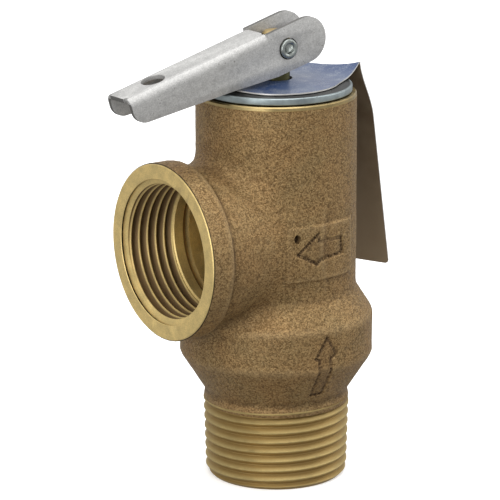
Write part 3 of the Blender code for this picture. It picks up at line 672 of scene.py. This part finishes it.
def lever_outline():
    """Side view as (x, z) in the lever's own frame, where x = -u."""
    tip_corner = (TIP_U - TIP_R, TIP_BOTTOM_V + TIP_R)
    outline = [(WEB_U, HEEL_R)]
    outline += arc_points((HEEL_U, 0), HEEL_R, 90, 270, 40)
    outline += LOWER_EDGE
    outline += arc_points(tip_corner, TIP_R, -83, 0, 16)
    outline += [(TIP_U, HEEL_R - SHEET - 0.2), (TIP_U + WEB_REACH, HEEL_R - SHEET)]
    outline += [(TIP_U + WEB_REACH, HEEL_R)]
    return [(-u, v) for u, v in outline]


def lever_cutters():
    """Channel under the web, slot between the cheeks, outside bends, and holes."""
    half, inner = LEVER_HALF_WIDTH, LEVER_HALF_WIDTH - SHEET
    top, under = HEEL_R, HEEL_R - SHEET
    far, back = TIP_U + 3, HEEL_U - HEEL_R - 2
    bend_in, clear = BEND_R - SHEET, 8.0
    channel = [(-inner, -clear), (inner, -clear)]
    channel += arc_points((inner - bend_in, under - bend_in), bend_in, 0, 90, 6)
    channel += arc_points((bend_in - inner, under - bend_in), bend_in, 90, 180, 6)
    yield prism(channel, -far, -WEB_U + 1.0, plane="YZ")
    yield block((-WEB_U, -inner, -clear), (-back, inner, clear))
    for side in (1, -1):
        corner = arc_points((half - BEND_R, top - BEND_R), BEND_R, 0, 90, 14)
        corner = [(half + 1, top - BEND_R)] + corner + [(half - BEND_R, top + 1), (half + 1, top + 1)]
        yield prism([(side * y, z) for y, z in corner], -far, -WEB_U, plane="YZ")
        beside = sorted((side * (half - BEND_R), side * (half + 1)))
        yield block((-far, beside[0], 0.0), (-TIP_U, beside[1], clear))
        for u in (WEB_U, TIP_U):
            notch = turned([(NOTCH_R, 1.8), (NOTCH_R, clear)], 20)
            yield moved(notch, x=-u, y=side * (half - BEND_R + NOTCH_SHIFT))
    hole_r = PIN_HIGH.x + 0.2
    yield turned([(hole_r, -clear), (hole_r, clear)], 72, axis="Y")
    yield moved(turned([(WEB_HOLE_R, 0), (WEB_HOLE_R, clear)], 72), x=-WEB_HOLE_U)


def tilted(item):
    """From the lever's own frame to its place on the stem."""
    item.data.transform(Matrix.Translation((0, 0, PIN_Z * MM))
                        @ Matrix.Rotation(-radians(LEVER_TILT), 4, "Y"))
    return item


def make_lever(zinc, cut):
    """Folded sheet; its cut rim has a dark material of its own, partly bare cut metal and partly painted
    shade.
    """
    half = LEVER_HALF_WIDTH
    bm = prism(lever_outline(), -half, half, plane="XZ")
    bm.normal_update()
    for face in bm.faces:
        web = face.normal.z > 0.99 and face.calc_center_median().x < -WEB_U
        face.material_index = int(abs(face.normal.y) < 0.5 and not web)
    lever = new_object("lever_sheet", bm, [zinc, cut])
    cut_from(lever, lever_cutters())
    soften(lever, 0.13)
    return finished(tilted(lever), "lever", "zinc_steel", "lever")


def make_pin(steel):
    """Rivet with rounded heads and a hexagonal recess in the near one."""
    head_r, end = PIN_HIGH.x, PIN_HIGH.y
    shoulder = LEVER_HALF_WIDTH - SHEET + 0.1
    far_head = [(head_r, shoulder)] + arc_points((head_r - PIN_LIP, end - PIN_LIP), PIN_LIP, 0, 90, 6)
    near_head = [(r, -h) for r, h in far_head[::-1]]
    profile = near_head + [(PIN_SHANK_R, -shoulder), (PIN_SHANK_R, shoulder)] + far_head
    pin = new_object("lever_rivet", turned(profile, 96, axis="Y"), [steel])
    hexagon = prism(polygon(PIN_RECESS_R, 6, 30), -end - 1, -end + PIN_RECESS, plane="XZ")
    dish = turned([(1.25, -end - 0.2), (1.02, -end + 0.22)], 48, axis="Y")
    soften(cut_from(pin, [hexagon, dish]), 0.05, angle=50)
    pin.data.transform(Matrix.Translation((0, 0, PIN_Z * MM)))
    return finished(pin, "lever", "spring_steel", "lever_pin")


# ---- stem, nut, screw and rings

def cut_and_eased(name, bm, cutters, mat, edge, body, slot, node):
    """A piece that is cut, then has its edges rounded."""
    item = cut_from(new_object(name, bm, [mat]), cutters)
    return finished(soften(item, edge), body, slot, node)


def make_stem(brass):
    """Rod with a cross hole for the pin; its top stands between the cheeks."""
    r, low, high = STEM_HIGH.x, STEM_LOW.z, STEM_HIGH.z
    hole_r, clear = PIN_SHANK_R + 0.3, r + 1.5
    profile = [(r - STEM_EDGE, low), (r, low + STEM_EDGE), (r, high - STEM_EDGE), (r - STEM_EDGE, high)]
    hole = moved(turned([(hole_r, -clear), (hole_r, clear)], 62, axis="Y"), z=PIN_Z)
    cut_and_eased("stem_rod", turned(profile, 96), [hole], brass, EASED, "stem", "brass", "stem")


def make_stem_nut(brass):
    """Round nut with two flats, on the stem's foot."""
    low, (r, flat, high) = box_mm("stem_nut")[0].z, box_mm("stem_nut")[1]
    inner, clear = STEM_HIGH.x + 0.3, 2 * r
    profile = [(inner, low), (r, low), (r, high), (inner, high)]
    flats = [block((-clear, flat, low - 1), (clear, clear, high + 1)),
             block((-clear, -clear, low - 1), (clear, -flat, high + 1))]
    cut_and_eased("stem_foot_nut", turned(profile, 96, loop=True), flats, brass, 0.15, "stem", "brass",
                  "stem_nut")


def make_disc_screw(steel):
    """Cap screw under the rubber disc, with a hexagonal recess below."""
    low, high = box_mm("disc_screw")
    head = low.z + SCREW_HEAD
    profile = [(high.x, low.z), (high.x, head), (SCREW_SHANK_R, head), (SCREW_SHANK_R, high.z)]
    hexagon = prism(polygon(SCREW_RECESS_R, 6), low.z - 1, low.z + SCREW_RECESS)
    cut_and_eased("holder_screw", turned(profile, 72), [hexagon], steel, 0.15, "piston", "spring_steel",
                  "disc_screw")


def make_adjusting_ring(brass):
    """Load ring with a shallow thread round it and two slots for a pin wrench."""
    low, high = box_mm("adjusting_ring")
    pitch = (high.z - low.z) / LOAD_RING_TURNS
    root, half, reach = high.x - LOAD_RING_DEPTH, WRENCH_HALF_WIDTH, high.x + 2
    profile = [(LOAD_RING_R, low.z), (root, low.z)]
    for k in range(LOAD_RING_TURNS):
        z = low.z + k * pitch
        profile += [(high.x, z + 0.4 * pitch), (high.x, z + 0.5 * pitch), (root, z + 0.95 * pitch)]
    profile += [(root, high.z), (LOAD_RING_R, high.z)]
    slot = block((-reach, -half, high.z - WRENCH_DEPTH), (reach, half, high.z + 1))
    cut_and_eased("load_ring", turned(profile, loop=True), [slot], brass, 0.08, "valve_body", "brass",
                  "adjusting_ring")


def make_guide_clip(steel):
    """Retaining ring, open at one side."""
    low, high = box_mm("guide_clip")
    outer, reach = -low.x, 15.0
    profile = [(CLIP_R, low.z), (outer, low.z), (outer, high.z), (CLIP_R, high.z)]
    half = reach * tan(radians(CLIP_GAP / 2))
    wedge = prism([(0, 0), (reach, -half), (reach, half)], low.z - 1, high.z + 1)
    cut_and_eased("retaining_ring", turned(profile, loop=True), [wedge], steel, 0.1, "valve_body",
                  "spring_steel", "guide_clip")


# ---- tag

def tag_radius(azimuth):
    """Plan radius of the tag's round end; flatter under the lever."""
    away = abs(azimuth % 360 - 180)
    return TAG_END_R + (TAG_DISC_R - TAG_END_R) * smooth_step((away - 16) / 34)


def tag_run():
    """Side of the tag from its round end to the fold, as a cubic curve in (d, w)."""
    steps = 20
    turn = radians(TAG_RUN_ANGLE)
    across, along = sin(turn), cos(turn)
    leave, arrive = TAG_RUN_REACH
    start = Vector((TAG_DISC_R * along, TAG_DISC_R * across))
    bends = (start, start + leave * Vector((across, -along)),
             Vector((TAG_RIDGE_D - arrive, TAG_HALF_WIDTH)), Vector((TAG_RIDGE_D, TAG_HALF_WIDTH)))
    points = []
    for i in range(1, steps + 1):
        t = i / steps
        shares = ((1 - t) ** 3, 3 * t * (1 - t) ** 2, 3 * t * t * (1 - t), t ** 3)
        points.append(tuple(sum((b * share for b, share in zip(bends, shares)), Vector((0, 0)))))
    return points


def tag_outline():
    """Flat outline in (d, w): round end about the stem, running out into a straight strip."""
    points = []
    steps = 100
    for i in range(steps + 1):
        angle = TAG_RUN_ANGLE + (360 - 2 * TAG_RUN_ANGLE) * i / steps
        r = tag_radius(angle + TAG_AZIMUTH)
        points.append((r * cos(radians(angle)), r * sin(radians(angle))))
    points += [(d, -w) for d, w in tag_run()]
    end, side = TAG_LENGTH - TAG_CORNER, TAG_HALF_WIDTH - TAG_CORNER
    points += arc_points((end, -side), TAG_CORNER, -90, 0, 8)
    points += arc_points((end, side), TAG_CORNER, 0, 90, 8)
    points += tag_run()[::-1]
    return points


def ridge_height(w):
    """The fold sits higher at its near edge, where the plate is curled up."""
    near = (TAG_HALF_WIDTH - w) / (2 * TAG_HALF_WIDTH)
    return TAG_FOLD_Z + TAG_CURL * max(near, 0.0) ** TAG_CURL_POWER


def hanging_d(drop):
    """Distance out from the stem's axis after a given drop below the fold."""
    return TAG_RIDGE_D + TAG_LEAN * drop + TAG_BELLY * smooth_step(drop / TAG_BELLY_DROP)


def dome_height(s, w):
    """How far the plate is pushed up near the stem."""
    return TAG_DOME * max(0.0, 1 - (s * s + w * w) / TAG_DOME_R ** 2) ** 2


def bend_point(s, w, h):
    """Carry a point of the flat tag onto its bent shape; s runs along it, h is its thickness."""
    ridge = ridge_height(w)
    if s <= TAG_RIDGE_D:
        t = max(0.0, (s - TAG_RISE_D) / (TAG_RIDGE_D - TAG_RISE_D))
        return s, TAG_Z + (ridge - TAG_Z) * t ** TAG_RISE_POWER + dome_height(s, w) + h
    drop = (s - TAG_RIDGE_D) / (TAG_LENGTH - TAG_RIDGE_D) * (ridge - TAG_BOTTOM_Z)
    step = 0.01
    slope = (hanging_d(drop + step) - hanging_d(drop)) / step
    norm = hypot(1.0, slope)
    return hanging_d(drop) + h / norm, ridge - drop + h * slope / norm


def make_tag(printed, edge, plain):
    """A flat plate with a hole, sliced finely, then bent. Slots: print, cut edge, bare underside."""
    flat = new_object("tag_plate", prism(tag_outline(), 0, TAG_SHEET), (printed, edge, plain))
    cut_from(flat, [turned([(TAG_HOLE_R, -1), (TAG_HOLE_R, 1)], 72)])
    bm = bmesh.new()
    bm.from_mesh(flat.data)
    bmesh.ops.scale(bm, vec=(1 / MM,) * 3, verts=bm.verts)
    along = [*np.arange(-TAG_DOME_R, TAG_RIDGE_D + 13, 0.45), *np.arange(TAG_RIDGE_D + 14, TAG_LENGTH, 2.0)]
    cuts = [((s, 0, 0), (1, 0, 0)) for s in along]
    cuts += [((0, w, 0), (0, 1, 0)) for w in np.arange(-8, 8.5, 0.5)]
    for point, normal in cuts:
        everything = bm.verts[:] + bm.edges[:] + bm.faces[:]
        bmesh.ops.bisect_plane(bm, geom=everything, plane_co=point, plane_no=normal, dist=1e-4)
    bm.normal_update()
    for face in bm.faces:
        face.material_index = 1 if abs(face.normal.z) < 0.5 else 0 if face.normal.z > 0 else 2
    turn = Matrix.Rotation(radians(TAG_AZIMUTH), 3, "Z")
    for vert in bm.verts:
        s, w, h = vert.co
        d, z = bend_point(s, w, h)
        vert.co = turn @ Vector((d, w, z))
    bpy.data.objects.remove(flat, do_unlink=True)
    tag = new_object("tag_plate", bm, (printed, edge, plain), angle=45)
    return finished(tag, "tag", "printed_aluminium", "tag")


# ---- spring

def make_spring(steel):
    """Compression spring with closed ends."""
    bottom, top = (corner.z for corner in box_mm("spring"))
    low, high = bottom + WIRE_R, top - WIRE_R
    pitch = (high - low - 2 * END_TURNS * END_PITCH) / ACTIVE_TURNS
    sides, per_turn = 14, 48
    total = 2 * END_TURNS + ACTIVE_TURNS
    bm = bmesh.new()
    rings = []
    for i in range(int(total * per_turn) + 1):
        turn = i / per_turn
        rise = (min(turn, END_TURNS) + max(turn - total + END_TURNS, 0)) * END_PITCH
        rise += min(max(turn - END_TURNS, 0), ACTIVE_TURNS) * pitch
        angle = tau * turn
        ring = []
        for k in range(sides):
            a = tau * k / sides
            r = COIL_R + WIRE_R * cos(a)
            ring.append(bm.verts.new((r * cos(angle), r * sin(angle), low + rise + WIRE_R * sin(a))))
        rings.append(ring)
    join_rings(bm, rings, True)
    bm.faces.new(rings[0])
    bm.faces.new(rings[-1][::-1])
    spring = finished(new_object("spring_wire", bm, [steel]), "valve_body", "spring_steel", "spring")
    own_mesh(spring)
    return spring


# ---- materials

class Finish:
    """A Principled material, with short calls for its nodes. Sizes and depths are in millimetres."""

    def __init__(self, name, metallic=0.0, roughness=0.5, **sockets):
        self.mat = bpy.data.materials.new(name)
        self.mat.use_nodes = True
        self.tree = self.mat.node_tree
        self.shader = self.tree.nodes["Principled BSDF"]
        self.shader.inputs["Metallic"].default_value = metallic
        self.shader.inputs["Roughness"].default_value = roughness
        for socket, value in sockets.items():
            self.shader.inputs[socket.replace("_", " ")].default_value = value
        self.place = self.add("ShaderNodeTexCoord").outputs["Object"]

    def add(self, kind, **values):
        """A node with its properties set, and its inputs, by name or as _number, set or linked."""
        made = self.tree.nodes.new(kind)
        for key, value in values.items():
            if key[0].isupper():
                self.set(made.inputs[key.replace("_", " ")], value)
            elif key[0] == "_":
                self.set(made.inputs[int(key[1:])], value)
            else:
                setattr(made, key, value)
        return made

    def set(self, socket, value):
        if isinstance(value, bpy.types.NodeSocket):
            self.tree.links.new(value, socket)
        else:
            socket.default_value = value

    def noise(self, size, detail=2.0, roughness=0.5):
        """Noise whose features are about this size."""
        made = self.add("ShaderNodeTexNoise", Vector=self.place, Scale=1 / (size * MM),
                        Detail=detail, Roughness=roughness)
        return made.outputs["Fac"]

    def cells(self, size):
        """A random value for each grain of about this size."""
        made = self.add("ShaderNodeTexVoronoi", Vector=self.place, Scale=1 / (size * MM))
        return self.add("ShaderNodeSeparateColor", Color=made.outputs["Color"]).outputs[0]

    def stored(self, name):
        """A value kept on the mesh's points."""
        return self.add("ShaderNodeAttribute", attribute_name=name).outputs["Fac"]

    def blend(self, a, b, share):
        """A value that is part a and the rest b."""
        return self.math("ADD", self.times(a, share), self.times(b, 1 - share))

    def math(self, operation, a, b=0.0):
        return self.add("ShaderNodeMath", operation=operation, _0=a, _1=b).outputs[0]

    def times(self, a, b):
        return self.math("MULTIPLY", a, b)

    def span(self, value, low, high, to_low=0.0, to_high=1.0):
        made = self.add("ShaderNodeMapRange", Value=value, From_Min=low, From_Max=high,
                        To_Min=to_low, To_Max=to_high)
        return made.outputs["Result"]

    def mix(self, share, a, b, blend="MIX"):
        made = self.add("ShaderNodeMix", data_type="RGBA", blend_type=blend)
        for socket, value in ((made.inputs[0], share), (made.inputs[6], a), (made.inputs[7], b)):
            self.set(socket, (*value, 1) if isinstance(value, tuple) else value)
        return made.outputs[2]

    def clouded(self, shade, color, dark):
        """A colour with patches that are darker by this factor."""
        return self.mix(self.span(shade, 0.36, 0.64), tuple(c * dark for c in color), color)

    def axis_radius(self, axis, centre=(0, 0, 0)):
        """Distance from a line through a point, and the place along it."""
        offset = self.add("ShaderNodeVectorMath", operation="SUBTRACT", _0=self.place,
                          _1=tuple(c * MM for c in centre)).outputs[0]
        parts = self.add("ShaderNodeSeparateXYZ", Vector=offset).outputs
        along = parts["XYZ".index(axis)]
        a, b = (parts[i] for i in range(3) if "XYZ"[i] != axis)
        square = self.math("ADD", self.times(a, a), self.times(b, b))
        return self.times(self.math("SQRT", square), 1 / MM), self.times(along, 1 / MM)

    def color(self, value):
        self.set(self.shader.inputs["Base Color"], value)

    def rough(self, value, low, high):
        self.set(self.shader.inputs["Roughness"], self.span(value, 0.3, 0.7, low, high))

    def bump(self, height, depth):
        """Height from 0 to 1 as a bump of this depth."""
        before = self.shader.inputs["Normal"].links
        made = self.add("ShaderNodeBump", Height=height, Distance=depth * MM, Strength=1.0)
        if before:
            self.tree.links.new(before[0].from_socket, made.inputs["Normal"])
        self.set(self.shader.inputs["Normal"], made.outputs["Normal"])


def cast_bronze():
    """Sand-cast skin: light and dark grains, painted shade with some soiling in the hollows, a painted
    highlight on sharp edges, and painted shade in the arrows.
    """
    f = Finish("cast_bronze", metallic=0.6, Specular_IOR_Level=0.25)
    mixed = f.blend(f.cells(0.2), f.noise(0.13, roughness=0.6), 0.6)
    tone = f.mix(f.span(mixed, 0.15, 0.85), (0.103, 0.055, 0.02), (0.44, 0.292, 0.137))
    sand = f.span(f.cells(0.34), 0.86, 0.92)
    tone = f.mix(f.times(sand, 0.2), tone, (0.5, 0.37, 0.2))
    pit = f.span(f.cells(0.43), 0.1, 0.06)
    tone = f.mix(f.times(pit, 0.3), tone, (0.06, 0.035, 0.016))
    warm = f.mix(f.span(f.noise(6.0, detail=3.0), 0.35, 0.68), (0.96, 0.98, 0.93), (1.04, 0.99, 0.9))
    tone = f.mix(1.0, tone, warm, "MULTIPLY")
    # Painted highlight on the casting's sharp edges.
    tone = f.mix(f.times(f.stored("sharp"), 0.3), tone, (0.5, 0.37, 0.2))
    # Painted shade, with patchy soiling, in the hollows.
    hollow_shade_and_soil = f.times(f.stored("hollow"), f.span(f.noise(3.0), 0.35, 0.65, 0.2, 0.75))
    tone = f.mix(hollow_shade_and_soil, tone, (0.06, 0.038, 0.02))
    # Painted shade in the arrows' grooves and insides, and in the small hole.
    f.color(f.mix(f.span(f.stored("marks"), 0.1, 0.75, 0.0, 0.85), tone, (0.065, 0.038, 0.022)))
    f.rough(f.noise(0.5), 0.42, 0.6)
    f.bump(f.noise(0.6, detail=3.0), 0.09)
    f.bump(mixed, 0.12)
    return f.mat


def machined_brass(name, axis, color, centre=(0, 0, 0), roots=None, groove=None, shade_below=None,
                   metallic=1.0, rough=(0.26, 0.42)):
    """Turned brass: fine rings about its axis. roots gives the radii of the thread's roots, painted dark as
    painted shade, and of its crests, their taper along the axis, the stretch of the axis that is threaded,
    and the painted shade's colour.
    groove gives a radius and a place along the axis past which both it is painted dark, as painted shade in
    the groove.
    shade_below gives two places along the axis, and the dark colour painted before the first: painted shade
    on the stem's lower part, among the lever and the tag."""
    f = Finish(name, metallic=metallic)
    radius, along = f.axis_radius(axis, centre)
    ring = f.add("ShaderNodeTexNoise", noise_dimensions="1D", W=f.math("ADD", radius, along),
                 Scale=7.0, Detail=3.0).outputs["Fac"]
    cloud = f.noise(2.0, detail=4.0)
    shade = f.blend(cloud, f.noise(0.22, roughness=0.6), 0.5)
    tone = f.clouded(shade, color, 0.72)
    # Painted shade: the thread's roots are coloured darker than its crests.
    if roots:
        deep, shallow, taper, start, end, root_shade = roots
        place = f.math("SUBTRACT", radius, f.times(along, taper))
        threaded = f.times(f.span(along, start, start + 0.25), f.span(along, end, end - 0.25))
        share = f.times(f.span(place, shallow, deep), threaded)
        tone = f.mix(share, tone, root_shade)
    # Painted shade past the given radius and place along the axis.
    if groove:
        outside, inwards = groove
        share = f.times(f.span(radius, outside, outside + 0.15), f.span(along, inwards, inwards + 0.06))
        tone = f.mix(share, tone, (0.06, 0.04, 0.02))
    # Painted shade on the part before the first place.
    if shade_below:
        low, high, shade_color = shade_below
        tone = f.mix(f.span(along, low, high), shade_color, tone)
    f.color(tone)
    f.rough(cloud, *rough)
    f.bump(ring, 0.02)
    f.bump(cloud, 0.02)
    return f.mat


def zinc_plate(name, color, low, high, metallic=0.85, size=1.6, mottle=0.5, shade_inside=None):
    """Satin zinc: cloudy patches, fine grain and a few dark specks. mottle is the grain's share;
    shade_inside gives two radii about Z between which painted shade starts, inwards."""
    f = Finish(name, metallic=metallic)
    cloud = f.noise(size, detail=5.0, roughness=0.65)
    fine = f.noise(0.22, roughness=0.6)
    shade = f.blend(fine, cloud, mottle)
    tone = f.clouded(shade, color, 0.62)
    fleck = f.span(f.noise(0.5, detail=1.0), 0.74, 0.78)
    tone = f.mix(f.times(fleck, 0.6), tone, (0.1, 0.09, 0.08))
    # Painted shadow: inside these radii the cap's top is nearly black, as under the tag.
    if shade_inside:
        radius, _ = f.axis_radius("Z")
        tone = f.mix(f.span(radius, *shade_inside, 0.0, 0.95), tone, (0.015, 0.014, 0.013))
    f.color(tone)
    f.rough(cloud, low, high)
    f.bump(fine, 0.012)
    f.bump(cloud, 0.02)
    return f.mat


def printed_aluminium():
    """Glossy blue print with pale scuffs."""
    f = Finish("printed_aluminium", metallic=0.3, Coat_Weight=0.4, Coat_Roughness=0.16)
    patch = f.noise(7.0, detail=3.0)
    tone = f.mix(f.span(patch, 0.35, 0.7), (0.018, 0.052, 0.165), (0.095, 0.13, 0.215))
    wear = f.blend(f.noise(0.28, roughness=0.65), f.noise(2.2), 0.6)
    tone = f.mix(f.times(f.span(wear, 0.49, 0.66), 0.7), tone, (0.3, 0.33, 0.38))
    f.color(f.mix(f.times(f.span(wear, 0.42, 0.34), 0.4), tone, (0.02, 0.05, 0.13)))
    f.rough(patch, 0.26, 0.42)
    f.bump(f.noise(3.0), 0.05)
    f.bump(wear, 0.008)
    return f.mat


def lacquered_underside():
    """Brown lacquer, with painted shade near the fold, paler towards the lower end."""
    f = Finish("tag_underside", metallic=0.3)
    cloud = f.noise(3.0, detail=3.0)
    _, height = f.axis_radius("Z")
    tone = f.mix(f.span(cloud, 0.3, 0.7), (0.145, 0.108, 0.068), (0.19, 0.15, 0.1))
    # Painted shade: darker near the fold, paler towards the lower end.
    f.color(f.mix(f.span(height, 66.0, TAG_BOTTOM_Z), tone, (0.34, 0.27, 0.185)))
    f.rough(cloud, 0.4, 0.55)
    f.bump(f.noise(0.4), 0.01)
    return f.mat


def two_tone(name, size, dark, pale, rough, metallic=0.0, detail=2.0, grain=None):
    """Cloudy patches of two tones, and a grain of this size."""
    f = Finish(name, metallic=metallic)
    cloud = f.noise(size, detail)
    f.color(f.mix(cloud, dark, pale))
    f.rough(cloud, *rough)
    if grain:
        f.bump(f.noise(grain), 0.01)
    return f.mat


def plain_floor():
    f = Finish("floor", roughness=0.8, Emission_Color=(1, 1, 1, 1), Emission_Strength=0.4)
    f.color(f.mix(f.noise(60.0), (0.88, 0.88, 0.88), (0.92, 0.92, 0.92)))
    return f.mat


def studio():
    """Even white light, dimmer from below."""
    world = bpy.data.worlds.new("studio")
    world.use_nodes = True
    nodes, links = world.node_tree.nodes, world.node_tree.links
    place, parts, height = (nodes.new("ShaderNode" + kind)
                            for kind in ("TexCoord", "SeparateXYZ", "MapRange"))
    background = nodes["Background"]
    for socket, value in (("From Min", -0.8), ("From Max", 0.4), ("To Min", 0.38), ("To Max", 0.72)):
        height.inputs[socket].default_value = value
    links.new(place.outputs["Generated"], parts.inputs[0])
    links.new(parts.outputs["Z"], height.inputs["Value"])
    links.new(height.outputs["Result"], background.inputs["Strength"])
    background.inputs["Color"].default_value = (1, 1, 1, 1)
    return world


# ---- stage

LIGHTS = (("key", (-0.35, -0.45, 0.75), (0.7, 0.7), 3.3),  # name, place, size and watts
          ("left", (-0.65, -0.35, 0.12), (0.35, 0.35), 1.6),
          ("right", (0.6, -0.3, 0.35), (0.3, 0.6), 1.2),
          ("top", (0.1, 0.1, 0.9), (0.7, 0.7), 4.9))
MIDDLE = Vector((0, 0, 0.045))


def add_light(name, place, size, power):
    """A soft light that points at the valve's middle."""
    data = bpy.data.lights.new(name, "AREA")
    data.shape = "RECTANGLE"
    data.size, data.size_y = size
    data.energy = power
    item = linked(name, data)
    item.location = place
    item.rotation_euler = (MIDDLE - Vector(place)).to_track_quat("-Z", "Y").to_euler()


def make_stage():
    bm = bmesh.new()
    bmesh.ops.create_grid(bm, x_segments=8, y_segments=8, size=6000)
    floor = new_object("floor", bm, [plain_floor()])
    floor.visible_diffuse = False  # the pale floor would light the valve from below
    floor.visible_glossy = False
    bpy.context.scene.world = studio()
    for light in LIGHTS:
        add_light(*light)
    bpy.context.scene.view_settings.view_transform = "Standard"


def make_camera():
    """At the photograph's viewing angle; the frame's width is 36 mm of sensor."""
    azimuth, elevation = radians(-36.106), radians(14.7)
    back = Vector((sin(azimuth) * cos(elevation), -cos(azimuth) * cos(elevation), sin(elevation)))
    right = Vector((cos(azimuth), sin(azimuth), 0))
    up = back.cross(right)
    data = bpy.data.cameras.new("camera")
    data.sensor_width = 36
    data.lens = 238.104
    data.shift_x, data.shift_y = -0.05211, -0.03143
    data.clip_start = 0.01
    camera = linked("camera", data)
    turn = Matrix((right, up, back)).transposed().to_4x4()
    camera.matrix_world = Matrix.Translation(MIDDLE + back * 0.60356) @ turn
    bpy.context.scene.camera = camera


# ---- the valve

make_camera()
make_stage()

brass = machined_brass("machined_brass", "Z", (0.48, 0.365, 0.17))
# Its thread roots and countersink groove get painted shade.
outlet_brass = machined_brass("outlet_brass", "X", (0.87, 0.66, 0.275), (0, 0, OUTLET_Z),
                              roots=(OUTLET_CREST_R + 0.32, OUTLET_CREST_R + 0.05, 0.0,
                                     OUTLET_FACE + OUTLET_SINK, -11.4, (0.21, 0.135, 0.06)),
                              groove=(OUTLET_SINK_R + 0.14, OUTLET_FACE + 0.12),
                              metallic=0.8, rough=(0.42, 0.54))
# Its thread roots get painted shade.
thread_brass = machined_brass("thread_brass", "Z", (0.56, 0.43, 0.185),
                              roots=(INLET_CREST_R - 0.5, INLET_CREST_R - 0.03, TAPER,
                                     -1.0, COLLAR_LOW + 3, (0.36, 0.245, 0.09)),
                              metallic=0.85, rough=(0.46, 0.58))
# The stem's lower part gets painted shade.
stem_brass = machined_brass("stem_brass", "Z", (0.62, 0.47, 0.22),
                            shade_below=(79.5, 82.5, (0.066, 0.064, 0.03)), rough=(0.34, 0.5))
zinc = zinc_plate("satin_zinc", (0.54, 0.535, 0.52), 0.45, 0.57, metallic=0.5, size=1.0, mottle=0.6)
# The lever's cut rim: bare cut metal, darkened further as painted shade.
shaded_cut_rim_zinc = zinc_plate("cut_rim_and_shade", (0.17, 0.165, 0.155), 0.5, 0.62, metallic=0.5, size=0.7)
# The cap's top gets a painted shadow inside these radii.
bright_zinc = zinc_plate("bright_zinc", (0.38, 0.44, 0.45), 0.36, 0.44, size=4.0, mottle=0.1,
                         shade_inside=(13.65, 13.3))
steel = zinc_plate("spring_steel", (0.36, 0.39, 0.37), 0.22, 0.36)
bare_edge = two_tone("tag_edge", 0.6, (0.72, 0.71, 0.68), (0.9, 0.89, 0.87), (0.35, 0.5), metallic=0.6)
rubber = two_tone("rubber", 0.8, (0.012, 0.012, 0.012), (0.035, 0.034, 0.033), (0.6, 0.8), detail=3.0,
                  grain=0.2)

make_body(cast_bronze(), brass, outlet_brass, thread_brass)
make_lever(zinc, shaded_cut_rim_zinc)
make_pin(steel)
make_tag(printed_aluminium(), bare_edge, lacquered_underside())
make_spring(steel)
make_stem(stem_brass)
make_stem_nut(brass)
make_disc_screw(steel)
make_adjusting_ring(brass)
make_guide_clip(steel)

for node, name, body, slot, mat in (
        ("cap", "cap_disc", "valve_body", "bright_zinc", bright_zinc),
        ("stem_bush", "stem_bushing", "valve_body", "brass", brass),
        ("seat_ring", "seat_nozzle", "valve_body", "brass", brass),
        ("guide_ring", "guide_bushing", "valve_body", "brass", brass),
        ("guide_o_ring", "o_ring", "valve_body", "rubber", rubber),
        ("upper_spring_seat", "upper_spring_plate", "valve_body", "zinc_steel", zinc),
        ("disc_holder", "disc_cup", "piston", "brass", brass),
        ("seat_disc", "rubber_disc", "piston", "rubber", rubber),
        ("disc_washer", "washer", "piston", "spring_steel", steel),
        ("lower_spring_seat", "lower_spring_plate", "piston", "zinc_steel", zinc)):
    turned_from_frame(name, node, body, slot, mat)
